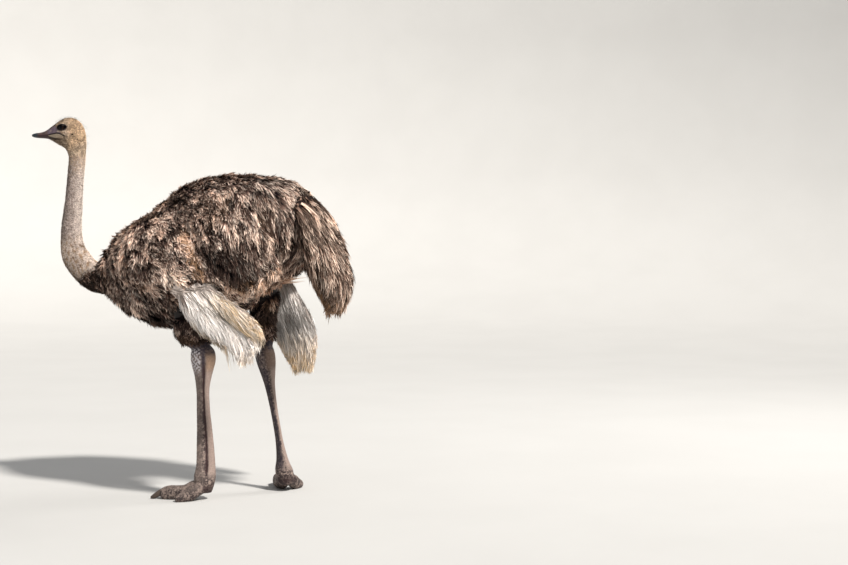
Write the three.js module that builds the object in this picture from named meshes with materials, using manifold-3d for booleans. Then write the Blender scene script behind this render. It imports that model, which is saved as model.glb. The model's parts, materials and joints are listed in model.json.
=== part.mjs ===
// A still, life-size ostrich hen at rest: neck in a low S, head turned to its left, wings let down
// with their white plumes showing, weight shared by two out-turned feet.
// Millimetres. The bird faces -Y, its left side is +X, and +Z is up.
// Its solids are true to the tips of the plumage; each visible part of the body is a mesh of its own.
import * as THREE from "three";
import { mergeVertices } from "three/addons/utils/BufferGeometryUtils.js";
import Module from "manifold-3d";

const wasm = await Module();
wasm.setup();

// ---- driving dimensions -------------------------------------------------------------------
const HEAD_TURN = THREE.MathUtils.degToRad(23); // the neck and head turn to the bird's left
const HEAD_AT = new THREE.Vector3(67, -755, 1551); // middle of the skull
const GAP = 0.5; // clearance where one solid is cut by its neighbour
const SHAG = 7; // how far the clumps of plumage stand out or sink in
const EYE_RADIUS = 22;
const FLOOR = 0; // the level that the soles rest on
const ANKLE_HEIGHT = 80; // middle of the raised joint behind the toes

const MATERIALS = {
  plumage: new THREE.MeshStandardMaterial({ color: 0x77634f, roughness: 0.95 }),
  white_plumes: new THREE.MeshStandardMaterial({ color: 0xe6dccb, roughness: 0.9 }),
  neck_down: new THREE.MeshStandardMaterial({ color: 0xb89c84, roughness: 0.85 }),
  leg_skin: new THREE.MeshStandardMaterial({ color: 0x8a6d60, roughness: 0.6 }),
  bill_horn: new THREE.MeshStandardMaterial({ color: 0x6f5248, roughness: 0.45 }),
  claw_horn: new THREE.MeshStandardMaterial({ color: 0x3b302a, roughness: 0.5 }),
  eye: new THREE.MeshStandardMaterial({ color: 0x17100c, roughness: 0.08 }),
};

// ---- lofting ------------------------------------------------------------------------------
const v3 = (x, y, z) => new THREE.Vector3(x, y, z);
const UP = v3(0, 0, 1);

// Value of a smooth curve through evenly spaced numbers, at t from 0 to 1.
function through(values, t) {
  const last = values.length - 1;
  const at = Math.min(Math.max(t, 0), 1) * last;
  const i = Math.min(Math.floor(at), last - 1);
  const s = at - i;
  const [p0, p1] = [values[Math.max(i - 1, 0)], values[i]];
  const [p2, p3] = [values[i + 1], values[Math.min(i + 2, last)]];
  const slope1 = (p2 - p0) / 2;
  const slope2 = (p3 - p1) / 2;
  const cubic = 2 * p1 - 2 * p2 + slope1 + slope2;
  const square = -3 * p1 + 3 * p2 - 2 * slope1 - slope2;
  return ((cubic * s + square) * s + slope1) * s + p1;
}

const pointThrough = (points, t) =>
  v3(...["x", "y", "z"].map((axis) => through(points.map((p) => p[axis]), t)));

const rounded = (value, power) => Math.sign(value) * Math.abs(value) ** (2 / power);

// One closed geometry through rings of points. The ends close on their middle points.
function geometryOfRings(rings) {
  const sides = rings[0].length;
  const middle = (ring) => ring.reduce((sum, p) => sum.add(p), v3(0, 0, 0)).divideScalar(sides);
  const points = [...rings.flat(), middle(rings[0]), middle(rings[rings.length - 1])];
  const firstMiddle = rings.length * sides;
  const lastRing = (rings.length - 1) * sides;
  const index = [];
  for (let j = 0; j < sides; j++) {
    const k = (j + 1) % sides;
    for (let i = 0; i < rings.length - 1; i++) {
      const [a, b] = [i * sides + j, i * sides + k];
      index.push(a, b, a + sides, b, b + sides, a + sides);
    }
    index.push(firstMiddle, k, j, firstMiddle + 1, lastRing + j, lastRing + k);
  }
  const geometry = new THREE.BufferGeometry().setFromPoints(points);
  geometry.setIndex(index);
  return geometry;
}

// A three.js geometry as a manifold-3d solid, its faces turned outwards.
function solid(geometry) {
  const bare = geometry.clone();
  bare.deleteAttribute("normal");
  bare.deleteAttribute("uv");
  const merged = mergeVertices(bare, 1e-4);
  const triVerts = new Uint32Array(merged.index.array);
  const vertProperties = merged.attributes.position.array;
  const made = new wasm.Manifold(new wasm.Mesh({ numProp: 3, vertProperties, triVerts }));
  if (made.volume() > 0) return made;
  triVerts.reverse();
  return new wasm.Manifold(new wasm.Mesh({ numProp: 3, vertProperties, triVerts }));
}

// A form lofted through stations, each { low, high, side, half, waist, power }:
// low and high are the ends of the section's height, side is the unit vector across it,
// half its half width, waist how far up its widest level lies, and power its squareness.
// shape.dress moves each point once it is placed, and grow swells the whole form.
function loft(stations, shape, grow = 0) {
  const { rings, sides, from = 0, to = 1, dress } = shape;
  const list = (key, usual) => stations.map((s) => s[key] ?? usual);
  const [lows, highs, across] = [list("low"), list("high"), list("side")];
  const [halves, waists, powers] = [list("half"), list("waist", 0.5), list("power", 2)];
  const made = [];
  for (let i = 0; i < rings; i++) {
    const t = from + ((to - from) * i) / (rings - 1);
    const low = pointThrough(lows, t);
    const high = pointThrough(highs, t);
    const side = pointThrough(across, t).normalize();
    const rise = high.clone().sub(low);
    const centre = low.clone().addScaledVector(rise, through(waists, t));
    const upward = rise.clone().normalize();
    const half = through(halves, t);
    const power = through(powers, t);
    const ring = [];
    for (let j = 0; j < sides; j++) {
      const angle = (2 * Math.PI * j) / sides;
      const a = rounded(Math.cos(angle), power);
      const b = rounded(Math.sin(angle), power);
      const reach = (b > 0 ? high.distanceTo(centre) : low.distanceTo(centre)) + grow;
      const point = centre
        .clone()
        .addScaledVector(side, a * (half + grow))
        .addScaledVector(upward, b * reach);
      ring.push(dress ? dress(point, { t, i, j, a, b, centre, side, upward }) : point);
    }
    made.push(ring);
  }
  if (grow) {
    // the closed ends move outwards too
    const push = (ring, next) => {
      const away = ring[0].clone().sub(next[0]).normalize().multiplyScalar(grow);
      ring.forEach((p) => p.add(away));
    };
    push(made[0], made[1]);
    push(made[rings - 1], made[rings - 2]);
  }
  return solid(geometryOfRings(made));
}

// Overlapping clumps of feathers: every other point of the loft stands out from its centre line.
function clumps(depth) {
  return (point, { t, i, j, centre }) => {
    const fade = Math.min(1, 6 * t, 6 * (1 - t));
    const out = (i + j) % 2 ? depth : -depth;
    const away = point.clone().sub(centre).normalize();
    return point.addScaledVector(away, out * fade);
  };
}

const cutBy = (piece, others) => others.reduce((rest, other) => rest.subtract(other), piece);

// The largest body that a cut leaves; crumbs are dropped.
const largest = (cut) =>
  cut.decompose().reduce((best, body) => (body.volume() > best.volume() ? body : best));

// ---- the frames of the head and the body --------------------------------------------------
const HEADING = v3(Math.sin(HEAD_TURN), -Math.cos(HEAD_TURN), 0); // where the bill points
const HEAD_SIDE = v3(Math.cos(HEAD_TURN), Math.sin(HEAD_TURN), 0);

// A point in the upright plane of the neck and head: how far forward of the skull, and how high.
const inHead = (forward, up, side = 0) =>
  HEAD_AT.clone()
    .addScaledVector(HEADING, forward)
    .addScaledVector(UP, up)
    .addScaledVector(HEAD_SIDE, side);

const across = v3(1, 0, 0);
const spinal = (lowY, lowZ, highY, highZ, half, power = 2.1) => ({
  low: v3(0, lowY, lowZ),
  high: v3(0, highY, highZ),
  side: across,
  half,
  waist: 0.46,
  power,
});

// ---- the trunk ----------------------------------------------------------------------------
// From the collar at the foot of the neck, over the breast and the domed back, to the rump.
const TRUNK = [
  { low: inHead(-122, -702), high: inHead(-124, -564), side: HEAD_SIDE, half: 61 },
  { low: inHead(-158, -710), high: inHead(-161, -538), side: HEAD_SIDE, half: 82 },
  spinal(-572, 857, -559, 1047, 112),
  spinal(-526, 818, -502, 1115, 160),
  spinal(-462, 762, -418, 1176, 205),
  spinal(-359, 716, -320, 1225, 248),
  spinal(-258, 689, -234, 1283, 274),
  spinal(-130, 690, -150, 1342, 288, 2.2),
  spinal(-20, 725, -50, 1368, 294, 2.3),
  spinal(80, 785, 50, 1376, 296, 2.4),
  spinal(165, 850, 145, 1370, 292, 2.4),
  spinal(240, 905, 235, 1361, 278, 2.4),
  spinal(306, 950, 304, 1350, 252, 2.3),
  spinal(360, 990, 356, 1308, 208, 2.2),
  spinal(402, 1040, 400, 1256, 150),
  spinal(430, 1100, 428, 1196, 76),
];
const trunkForm = (grow) => loft(TRUNK, { rings: 25, sides: 20, dress: clumps(SHAG) }, grow);

// ---- the neck -----------------------------------------------------------------------------
const nape = (frontX, frontZ, backX, backZ, half) => ({
  low: inHead(frontX, frontZ),
  high: inHead(backX, backZ),
  side: HEAD_SIDE,
  half,
});

// From inside the collar, round the low bend and up to the throat.
const NECK = [
  nape(-172, -700, -172, -580, 58),
  nape(-130, -702, -132, -568, 58),
  nape(-84, -699, -112, -551, 56),
  nape(-38, -666, -99, -534, 52),
  nape(2, -612, -88, -521, 49),
  nape(23, -556, -71, -494, 46),
  nape(31, -492, -63, -456, 42.5),
  nape(28, -420, -60, -408, 40),
  nape(20, -358, -62, -358, 38),
  nape(12, -308, -64.5, -308, 36.5),
  nape(6, -258, -67, -258, 35),
  nape(1, -207, -70, -207, 34),
  nape(-3, -157, -75, -154, 33.5),
  nape(-7, -108, -80, -96, 33.5),
];
const NECK_JOINTS = [0, 0.46, 0.72, 1]; // where the neck is parted, as shares of its stations
const NECK_CUT = 0.00022; // half of the thin cut between two lengths, in the same shares

// ---- the head -----------------------------------------------------------------------------
// From the throat round to the tip of the bill: lower outline, upper outline, half width.
const HEAD = [
  nape(-7, -108, -80, -96, 33.5),
  nape(-2, -87, -82, -67, 34),
  nape(6, -71, -82, -36, 36),
  nape(14, -63.5, -79, -5, 39),
  nape(21, -59, -70, 26, 42),
  nape(28, -55.5, -50, 51, 43.5),
  nape(36, -51.5, -22, 65, 44),
  nape(44, -47, 5, 64, 42),
  nape(52, -42, 27, 54, 37.5),
  nape(61, -36, 46, 41, 32),
  nape(72, -30, 65, 27.5, 26),
  nape(84, -26, 82, 16, 21.5),
  nape(98, -24, 97, 7, 19),
  nape(116, -23, 114, 1.5, 18.5),
  nape(133, -21.5, 132, -1.5, 17.5),
  nape(146, -19, 146, -4, 13.5),
  nape(153, -16, 154, -7.5, 8),
];
const BILL_FROM = 78; // forward of the skull, where the horn begins
const EYE_AT = { forward: 18, up: 22, side: 23.5 };
// The line between the two halves of the bill, as [forward, up] from the middle of the skull.
const MOUTH_LINE = [
  [175, -12],
  [120, -11],
  [84, -9.5],
  [70, -7],
];

// Brow over the eye and hollow cheek in front of it, as swellings of the head's outer skin.
function faceForms(point, { a, centre, side }) {
  const local = point.clone().sub(HEAD_AT);
  const forward = local.dot(HEADING);
  const up = local.dot(UP);
  const swell = (f, u, width, height) =>
    Math.exp(-(((forward - f) / width) ** 2) - ((up - u) / height) ** 2);
  const brow = 4.5 * swell(20, 49, 26, 9);
  const rim = 2 * swell(20, 4, 24, 8);
  const lore = -3.5 * swell(56, 14, 13, 12);
  const ear = -3 * swell(-26, -4, 9, 9);
  const away = point.clone().sub(centre).normalize();
  const sideways = Math.abs(a);
  return point
    .addScaledVector(side, Math.sign(a) * sideways * (brow + rim + lore + ear))
    .addScaledVector(away, brow * 0.2 * sideways);
}

const inHeadFrame = (geometry, forward, up, side = 0) => {
  const turn = new THREE.Matrix4().makeBasis(HEADING, HEAD_SIDE, UP);
  return geometry.applyMatrix4(turn.setPosition(inHead(forward, up, side)));
};

function headPieces() {
  const whole = loft(HEAD, { rings: 22, sides: 18, dress: faceForms });
  const eyes = [-1, 1].map((hand) => {
    const ball = (radius) =>
      solid(
        inHeadFrame(
          new THREE.SphereGeometry(radius, 12, 8),
          EYE_AT.forward,
          EYE_AT.up,
          hand * EYE_AT.side,
        ),
      );
    return { ball: ball(EYE_RADIUS), socket: ball(EYE_RADIUS + GAP) };
  });
  const billBlock = (from) =>
    solid(inHeadFrame(new THREE.BoxGeometry(200, 200, 200), from + 100, 0));
  const skull = cutBy(whole, [billBlock(BILL_FROM - GAP / 2), ...eyes.map((e) => e.socket)]);
  // the thin parting between the two halves of the bill
  const slit = new THREE.Shape([
    ...MOUTH_LINE.map(([f, u]) => new THREE.Vector2(f, u + GAP / 2)),
    ...MOUTH_LINE.toReversed().map(([f, u]) => new THREE.Vector2(f, u - GAP / 2)),
  ]);
  const slab = new THREE.ExtrudeGeometry(slit, { depth: 120, bevelEnabled: false });
  slab.translate(0, 0, -60);
  slab.rotateX(Math.PI / 2);
  const bill = whole
    .intersect(billBlock(BILL_FROM + GAP / 2))
    .subtract(solid(inHeadFrame(slab, 0, 0)));
  const level = (body) => body.boundingBox().max[2];
  const [upper, lower] = bill
    .decompose()
    .filter((body) => body.volume() > 100)
    .sort((p, q) => level(q) - level(p));
  return { skull: largest(skull), upper, lower, eyes: eyes.map((e) => e.ball) };
}

// ---- plumage: wings, wing plumes, flanks and tail -------------------------------------------
// A lobe of feathers on one side. Its outline is given as [y, z] pairs along its lower and upper
// edges, with how far out it lies and half its thickness. hand is 1 for the left, -1 for the right.
const lobe = (hand, rows) =>
  rows.map(([lowY, lowZ, highY, highZ, out, half, splay = 0]) => ({
    low: v3(hand * (out + splay), lowY, lowZ),
    high: v3(hand * (out - splay), highY, highZ),
    side: v3(hand, 0, 0),
    half,
  }));

const WING_LEFT = lobe(1, [
  [-455, 985, -400, 1080, 186, 26, 8],
  [-405, 935, -330, 1150, 228, 44, 14],
  [-330, 905, -235, 1190, 258, 52, 20],
  [-240, 888, -140, 1185, 282, 54, 22],
  [-150, 872, -50, 1130, 296, 50, 20],
  [-75, 860, 35, 1045, 302, 44, 14],
  [-15, 862, 105, 960, 304, 35, 8],
  [40, 868, 132, 915, 302, 16],
]);
const WING_RIGHT = lobe(-1, [
  [-450, 965, -400, 1070, 186, 26, 8],
  [-400, 915, -330, 1140, 228, 44, 14],
  [-325, 880, -235, 1185, 258, 52, 20],
  [-235, 862, -140, 1175, 282, 54, 22],
  [-145, 848, -50, 1120, 296, 50, 20],
  [-70, 842, 40, 1035, 302, 44, 14],
  [0, 850, 112, 955, 304, 35, 8],
  [60, 862, 142, 915, 302, 16],
]);
const PLUMES_LEFT = lobe(1, [
  [-88, 935, 72, 958, 296, 16],
  [-60, 880, 112, 902, 312, 28, 6],
  [-10, 812, 168, 862, 322, 33, 8],
  [40, 745, 232, 828, 328, 32, 8],
  [110, 686, 298, 798, 326, 27, 6],
  [184, 656, 346, 742, 320, 19, 4],
  [236, 628, 344, 688, 316, 12, 2],
  [262, 602, 296, 622, 314, 7],
]);
const PLUMES_RIGHT = lobe(-1, [
  [-32, 925, 128, 950, 296, 16],
  [-20, 850, 168, 890, 312, 28, 6],
  [10, 765, 213, 815, 320, 34, 8],
  [50, 680, 258, 735, 322, 32, 8],
  [90, 604, 281, 655, 318, 26, 6],
  [126, 552, 274, 584, 314, 17, 4],
  [158, 522, 250, 530, 310, 8, 2],
]);
const FLANK_LEFT = lobe(1, [
  [40, 960, 30, 1150, 262, 18],
  [75, 905, 70, 1190, 272, 32],
  [130, 868, 130, 1200, 280, 38],
  [195, 845, 200, 1190, 280, 40],
  [262, 842, 270, 1160, 270, 38],
  [325, 872, 330, 1120, 250, 32],
  [374, 915, 376, 1080, 222, 22],
  [402, 955, 402, 1040, 196, 10],
]);
const FLANK_RIGHT = lobe(-1, [
  [20, 950, 10, 1150, 266, 18],
  [55, 905, 50, 1185, 274, 32],
  [105, 885, 110, 1195, 280, 38],
  [160, 895, 170, 1190, 278, 38],
  [215, 925, 230, 1170, 266, 34],
  [265, 960, 285, 1140, 246, 26],
  [310, 1000, 325, 1100, 218, 12],
]);

// The tail hangs behind the rump. low is its outer edge, high the edge next to the body.
const tailRow = (outerY, outerZ, innerY, innerZ, half) => ({
  low: v3(0, outerY, outerZ),
  high: v3(0, innerY, innerZ),
  side: across,
  half,
  power: 2.3,
});
const TAIL = [
  tailRow(362, 1300, 320, 1225, 110),
  tailRow(430, 1235, 365, 1150, 140),
  tailRow(484, 1155, 402, 1085, 150),
  tailRow(525, 1075, 416, 1022, 150),
  tailRow(557, 992, 424, 960, 144),
  tailRow(573, 915, 448, 902, 132),
  tailRow(574, 850, 480, 850, 110),
  tailRow(552, 802, 494, 812, 78),
  tailRow(532, 778, 502, 786, 40),
];

// ---- the legs -----------------------------------------------------------------------------
// legOut is how far the upright plane of the leg is turned out from the body, toeOut the same for
// its big toe, and toeSpread the angle between the two toes. The joints are given by their centres.
const LEGS = [
  {
    name: "left",
    hand: 1,
    legOut: 24,
    toeOut: 19,
    toeSpread: 30,
    knee: v3(186, -120, 960),
    hock: v3(148, -20, 588),
    ankle: v3(156, -2, ANKLE_HEIGHT),
  },
  {
    name: "right",
    hand: -1,
    legOut: 50,
    toeOut: 53,
    toeSpread: 36,
    knee: v3(-172, 78, 960),
    hock: v3(-126, 123, 588),
    ankle: v3(-160, 199, ANKLE_HEIGHT),
  },
];

// The level directions ahead of and across something turned out from the body on one side.
function turnedOut(hand, degrees) {
  const turn = hand * THREE.MathUtils.degToRad(degrees);
  const forward = v3(Math.sin(turn), -Math.cos(turn), 0);
  const side = v3(Math.cos(turn), Math.sin(turn), 0);
  return { forward, side };
}

// Sections square to a leg's plane, along a path. Each row is
// [how far from the first joint to the second, middle moved forward, half fore-and-aft, half width].
function limb(leg, start, end, rows) {
  const { forward, side } = turnedOut(leg.hand, leg.legOut);
  return rows.map(([share, ahead, deep, half]) => {
    const middle = start.clone().lerp(end, share).addScaledVector(forward, ahead);
    return {
      low: middle.clone().addScaledVector(forward, -deep),
      high: middle.clone().addScaledVector(forward, deep),
      side,
      half,
    };
  });
}

const THIGH = [
  [0.0, 0, 104, 78],
  [0.2, -4, 100, 80],
  [0.42, -8, 84, 68],
  [0.62, 8, 76, 54],
  [0.77, 12, 66, 47],
  [0.85, 3, 51, 39],
  [0.91, 0, 46, 37],
];
const SHANK = [
  [-0.075, -2, 46, 38],
  [-0.035, -3, 51, 42],
  [0.02, -3, 51, 43],
  [0.08, -2, 44, 40],
  [0.15, -1, 35, 33],
  [0.26, 2, 27, 23],
  [0.42, 2, 28, 16.5],
  [0.58, -1, 32, 14.5],
  [0.74, -2, 37, 16],
  [0.88, -2, 40, 25],
  [0.97, 3, 45, 37],
  [1.04, 5, 39, 37],
  [1.1, 6, 29, 29],
];
const TENDON_GROOVE = 7; // depth of the groove between the shin bone and the tendons behind it

function shinGroove(point, { t, a, b, side }) {
  const along = Math.exp(-(((t - 0.62) / 0.24) ** 2));
  const groove = Math.exp(-(((b + 0.25) / 0.24) ** 2)) * along;
  return point.addScaledVector(side, -a * TENDON_GROOVE * groove);
}

// A toe: sections across it along its length, flat underneath where it bears on the floor.
// Each row is [distance ahead of the ankle, height of the middle, half height, half width].
const BIG_TOE = [
  [-16, 64, 32, 28],
  [10, 60, 36, 31],
  [40, 47, 35, 31],
  [66, 36, 37, 30],
  [92, 27, 32, 30],
  [122, 25, 31, 30],
  [150, 25, 31, 28],
  [176, 24, 26, 24],
  [192, 23, 17, 16],
];
const OUTER_TOE = [
  [-8, 62, 26, 20],
  [16, 56, 28, 24],
  [42, 42, 28, 25],
  [68, 30, 30, 24],
  [94, 20, 24, 21],
  [118, 15, 18, 17],
  [134, 12, 11, 10],
];
const CLAW = [
  [170, 31, 11, 12],
  [186, 28, 15, 14],
  [204, 20, 14, 12],
  [220, 11, 11, 9],
  [234, 4, 6, 4.5],
];

function toeStations(leg, rows, splay, shift = 0) {
  const { forward, side } = turnedOut(leg.hand, leg.toeOut + splay);
  const foot = v3(leg.ankle.x, leg.ankle.y, 0);
  return rows.map(([ahead, height, tall, half]) => {
    const middle = foot.clone().addScaledVector(forward, ahead);
    middle.addScaledVector(side, leg.hand * shift).setZ(height);
    return {
      low: middle.clone().addScaledVector(UP, -tall),
      high: middle.clone().addScaledVector(UP, tall),
      side,
      half,
      power: 2.3,
    };
  });
}

// Presses a pad flat against the floor.
const onFloor = (point) => point.setZ(Math.max(point.z, FLOOR));

function legForms(leg, grow) {
  const claw = toeStations(leg, CLAW, 0, -2);
  return {
    claw: loft(claw, { rings: 7, sides: 8, dress: onFloor }, grow),
    bigToe: loft(toeStations(leg, BIG_TOE, 0, -2), { rings: 11, sides: 10, dress: onFloor }, grow),
    outerToe: loft(
      toeStations(leg, OUTER_TOE, leg.toeSpread, 12),
      { rings: 9, sides: 10, dress: onFloor },
      grow,
    ),
    shank: loft(
      limb(leg, leg.hock, leg.ankle, SHANK),
      { rings: 17, sides: 14, dress: shinGroove },
      grow,
    ),
    thigh: loft(limb(leg, leg.knee, leg.hock, THIGH), { rings: 9, sides: 14 }, grow),
  };
}

// ---- assembly -----------------------------------------------------------------------------
const bird = new THREE.Group();

// A solid as a named mesh, its origin at the middle of its box.
function addMesh(group, name, body, material) {
  const { vertProperties, triVerts } = body.getMesh();
  const geometry = new THREE.BufferGeometry();
  geometry.setAttribute("position", new THREE.BufferAttribute(vertProperties, 3));
  geometry.setIndex(new THREE.BufferAttribute(triVerts, 1));
  geometry.computeBoundingBox();
  const middle = geometry.boundingBox.getCenter(v3(0, 0, 0));
  geometry.translate(-middle.x, -middle.y, -middle.z);
  geometry.computeVertexNormals();
  const mesh = new THREE.Mesh(geometry, material);
  mesh.name = name;
  mesh.position.copy(middle);
  group.add(mesh);
}

// A bunch of plumes: ridges along it, and at its end one point for each plume.
function plumes(count, ridge, reach, direction) {
  return (point, { t, a, b, side }) => {
    const wave = Math.abs(Math.cos(Math.PI * count * ((b + 1) / 2)));
    const nearTip = Math.max(0, (t - 0.72) / 0.28);
    return point
      .addScaledVector(side, a * ridge * (wave - 0.6) * Math.min(1, 4 * t))
      .addScaledVector(direction, reach * nearTip * (wave - 0.55));
  };
}

// The tail's plumes lie side by side across it instead.
function tailPlumes(count, ridge, reach, direction) {
  return (point, { t, a, b, upward }) => {
    const wave = Math.abs(Math.cos(Math.PI * count * ((a + 1) / 2)));
    const nearTip = Math.max(0, (t - 0.72) / 0.28);
    return point
      .addScaledVector(upward, b * ridge * (wave - 0.6) * Math.min(1, 4 * t))
      .addScaledVector(direction, reach * nearTip * (wave - 0.55));
  };
}

const WING_SHAPE = { rings: 11, sides: 14, dress: clumps(SHAG * 0.7) };
const FLANK_SHAPE = { rings: 9, sides: 14, dress: clumps(SHAG * 0.7) };
const PLUME_TIPS = v3(0, 0.55, -0.83);
const PLUME_SHAPE = { rings: 9, sides: 18, dress: plumes(5, 8, 24, PLUME_TIPS) };
const TAIL_SHAPE = { rings: 11, sides: 20, dress: tailPlumes(5, 12, 30, v3(0, -0.1, -1)) };

function buildPlumage(group) {
  const trunk = trunkForm(0);
  const around = [trunkForm(GAP)];
  addMesh(group, "trunk", trunk, MATERIALS.plumage);
  const add = (name, stations, shape, material) => {
    addMesh(group, name, largest(cutBy(loft(stations, shape), around)), material);
    around.push(loft(stations, shape, GAP));
  };
  add("left_wing", WING_LEFT, WING_SHAPE, MATERIALS.plumage);
  add("right_wing", WING_RIGHT, WING_SHAPE, MATERIALS.plumage);
  add("left_flank_plumes", FLANK_LEFT, FLANK_SHAPE, MATERIALS.plumage);
  add("right_flank_plumes", FLANK_RIGHT, FLANK_SHAPE, MATERIALS.plumage);
  add("left_wing_plumes", PLUMES_LEFT, PLUME_SHAPE, MATERIALS.white_plumes);
  add("right_wing_plumes", PLUMES_RIGHT, PLUME_SHAPE, MATERIALS.white_plumes);
  add("tail", TAIL, TAIL_SHAPE, MATERIALS.plumage);
  return around;
}

function buildNeckAndHead(group, around) {
  const names = ["neck_lower", "neck_middle", "neck_upper"];
  names.forEach((name, i) => {
    const from = NECK_JOINTS[i] + (i ? NECK_CUT : 0);
    const to = NECK_JOINTS[i + 1] - NECK_CUT * (i < 2 ? 1 : 2);
    const length = loft(NECK, { rings: 7, sides: 14, from, to });
    addMesh(group, name, largest(cutBy(length, around)), MATERIALS.neck_down);
  });
  const { skull, upper, lower, eyes } = headPieces();
  addMesh(group, "head", skull, MATERIALS.neck_down);
  addMesh(group, "bill_upper", upper, MATERIALS.bill_horn);
  addMesh(group, "bill_lower", lower, MATERIALS.bill_horn);
  addMesh(group, "right_eye", eyes[0], MATERIALS.eye);
  addMesh(group, "left_eye", eyes[1], MATERIALS.eye);
}

function buildLeg(group, leg, around) {
  const form = legForms(leg, 0);
  const grown = legForms(leg, GAP);
  const thigh = largest(cutBy(form.thigh, around));
  const shank = largest(cutBy(form.shank, [grown.thigh]));
  const bigToe = largest(cutBy(form.bigToe, [grown.shank, grown.claw]));
  const outerToe = largest(cutBy(form.outerToe, [grown.shank, grown.bigToe]));
  const { leg_skin, claw_horn } = MATERIALS;
  addMesh(group, `${leg.name}_thigh`, thigh, leg_skin);
  addMesh(group, `${leg.name}_shank`, shank, leg_skin);
  addMesh(group, `${leg.name}_big_toe`, bigToe, leg_skin);
  addMesh(group, `${leg.name}_outer_toe`, outerToe, leg_skin);
  addMesh(group, `${leg.name}_claw`, form.claw, claw_horn);
}

const plumage = new THREE.Group();
const neckAndHead = new THREE.Group();
bird.add(plumage, neckAndHead);
const around = buildPlumage(plumage);
buildNeckAndHead(neckAndHead, around);
for (const leg of LEGS) {
  const group = new THREE.Group();
  buildLeg(group, leg, around);
  bird.add(group);
}

// The origin is the middle of the bird's box, at floor level.
const box = new THREE.Box3().setFromObject(bird, true);
const centre = box.getCenter(v3(0, 0, 0));
bird.position.set(-centre.x, -centre.y, -box.min.z);

export default bird;
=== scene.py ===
"""A still, life-size ostrich hen: one skin, its feathers and down, eyes, bill and claws."""
import copy
import json
import math

import bpy
import numpy as np
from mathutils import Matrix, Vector
from mathutils.bvhtree import BVHTree
from mathutils.kdtree import KDTree

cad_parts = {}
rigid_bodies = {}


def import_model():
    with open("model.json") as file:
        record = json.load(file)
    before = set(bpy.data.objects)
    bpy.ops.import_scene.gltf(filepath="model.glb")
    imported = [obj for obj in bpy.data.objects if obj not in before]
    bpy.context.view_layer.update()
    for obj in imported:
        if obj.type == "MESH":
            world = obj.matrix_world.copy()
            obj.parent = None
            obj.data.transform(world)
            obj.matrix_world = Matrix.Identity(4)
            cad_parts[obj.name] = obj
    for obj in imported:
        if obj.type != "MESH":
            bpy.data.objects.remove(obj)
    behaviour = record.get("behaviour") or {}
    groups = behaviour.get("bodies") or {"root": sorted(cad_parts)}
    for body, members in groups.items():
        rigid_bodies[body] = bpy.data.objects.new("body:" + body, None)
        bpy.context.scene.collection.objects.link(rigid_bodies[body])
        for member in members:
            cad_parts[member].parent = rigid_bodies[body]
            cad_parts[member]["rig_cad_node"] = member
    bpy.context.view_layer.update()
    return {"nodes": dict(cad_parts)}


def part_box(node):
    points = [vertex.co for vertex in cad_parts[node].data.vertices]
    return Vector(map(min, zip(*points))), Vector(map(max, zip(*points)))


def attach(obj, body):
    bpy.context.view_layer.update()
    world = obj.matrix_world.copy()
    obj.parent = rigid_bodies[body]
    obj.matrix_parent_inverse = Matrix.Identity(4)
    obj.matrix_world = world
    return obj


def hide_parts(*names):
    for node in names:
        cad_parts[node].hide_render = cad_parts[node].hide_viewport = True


bl_info = {
    "name": "Ostrich Hen",
    "version": (1, 0, 0),
    "blender": (4, 5, 0),
    "location": "3D View > Sidebar > Ostrich",
    "description": "Skin, feathers, bill, eyes and claws for the solids of an ostrich hen",
    "category": "Object",
}

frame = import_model()

# ---- sizes that the solids share, in millimetres --------------------------------------------
MM = 0.001
UP = np.array((0.0, 0.0, 1.0))
EYE = {"forward": 18.0, "up": 22.0, "side": 23.5, "radius": 22.0}

# Sections of the neck and head in their own upright plane, from inside the collar to the bill's
# tip: lower outline (forward, up), upper outline (forward, up), half width.
NECK = [
    (-172, -700, -172, -580, 58),
    (-130, -702, -132, -568, 58),
    (-85, -686, -112, -551, 55),
    (-41, -652, -99, -534, 51),
    (-1, -604, -88, -521, 48),
    (23, -556, -71, -494, 46),
    (31, -492, -63, -456, 42.5),
    (28, -420, -60, -408, 40),
    (20, -358, -62, -358, 38),
    (12, -308, -64.5, -308, 36.5),
    (6, -258, -67, -258, 35),
    (1, -207, -70, -207, 34),
    (-3, -157, -75, -154, 33.5),
]
HEAD = [
    (-7, -108, -80, -96, 33.5),
    (-2, -87, -82, -67, 34),
    (6, -71, -82, -36, 36),
    (14, -63.5, -79, -5, 39),
    (21, -59, -70, 26, 42),
    (28, -55.5, -50, 51, 43.5),
    (36, -51.5, -22, 65, 44),
    (44, -47, 5, 64, 42),
    (52, -42, 27, 54, 37.5),
    (61, -36, 46, 41, 32),
    (72, -30, 65, 27.5, 26),
    (84, -26, 82, 16, 21.5),
    (98, -24, 97, 7, 19),
    (116, -23, 114, 1.5, 18.5),
    (133, -21.5, 132, -1.5, 17.5),
    (146, -19, 146, -4, 13.5),
    (153, -16, 154, -7.5, 8),
]
BILL_FROM = 78.0
# The line of the mouth, as (forward, up), from the bill's tip back to the corner of the gape.
MOUTH = [
    (175, -12), (120, -11), (84, -9.8), (56, -6.9), (37, -3.6), (21, -6.9), (9.5, -12.9), (3, -17),
]

# The legs. In degrees, leg_out turns a leg's plane out from the body, toe_out turns the big toe
# out, and toe_spread the outer toe from the big one.
ANKLE_HEIGHT = 80
LEGS = [
    {
        "name": "left", "hand": 1, "leg_out": 24, "toe_out": 19, "toe_spread": 30,
        "knee": (186, -120, 960), "hock": (148, -20, 588), "ankle": (156, -2, ANKLE_HEIGHT),
    },
    {
        "name": "right", "hand": -1, "leg_out": 50, "toe_out": 53, "toe_spread": 36,
        "knee": (-172, 78, 960), "hock": (-126, 123, 588), "ankle": (-160, 199, ANKLE_HEIGHT),
    },
]
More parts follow.
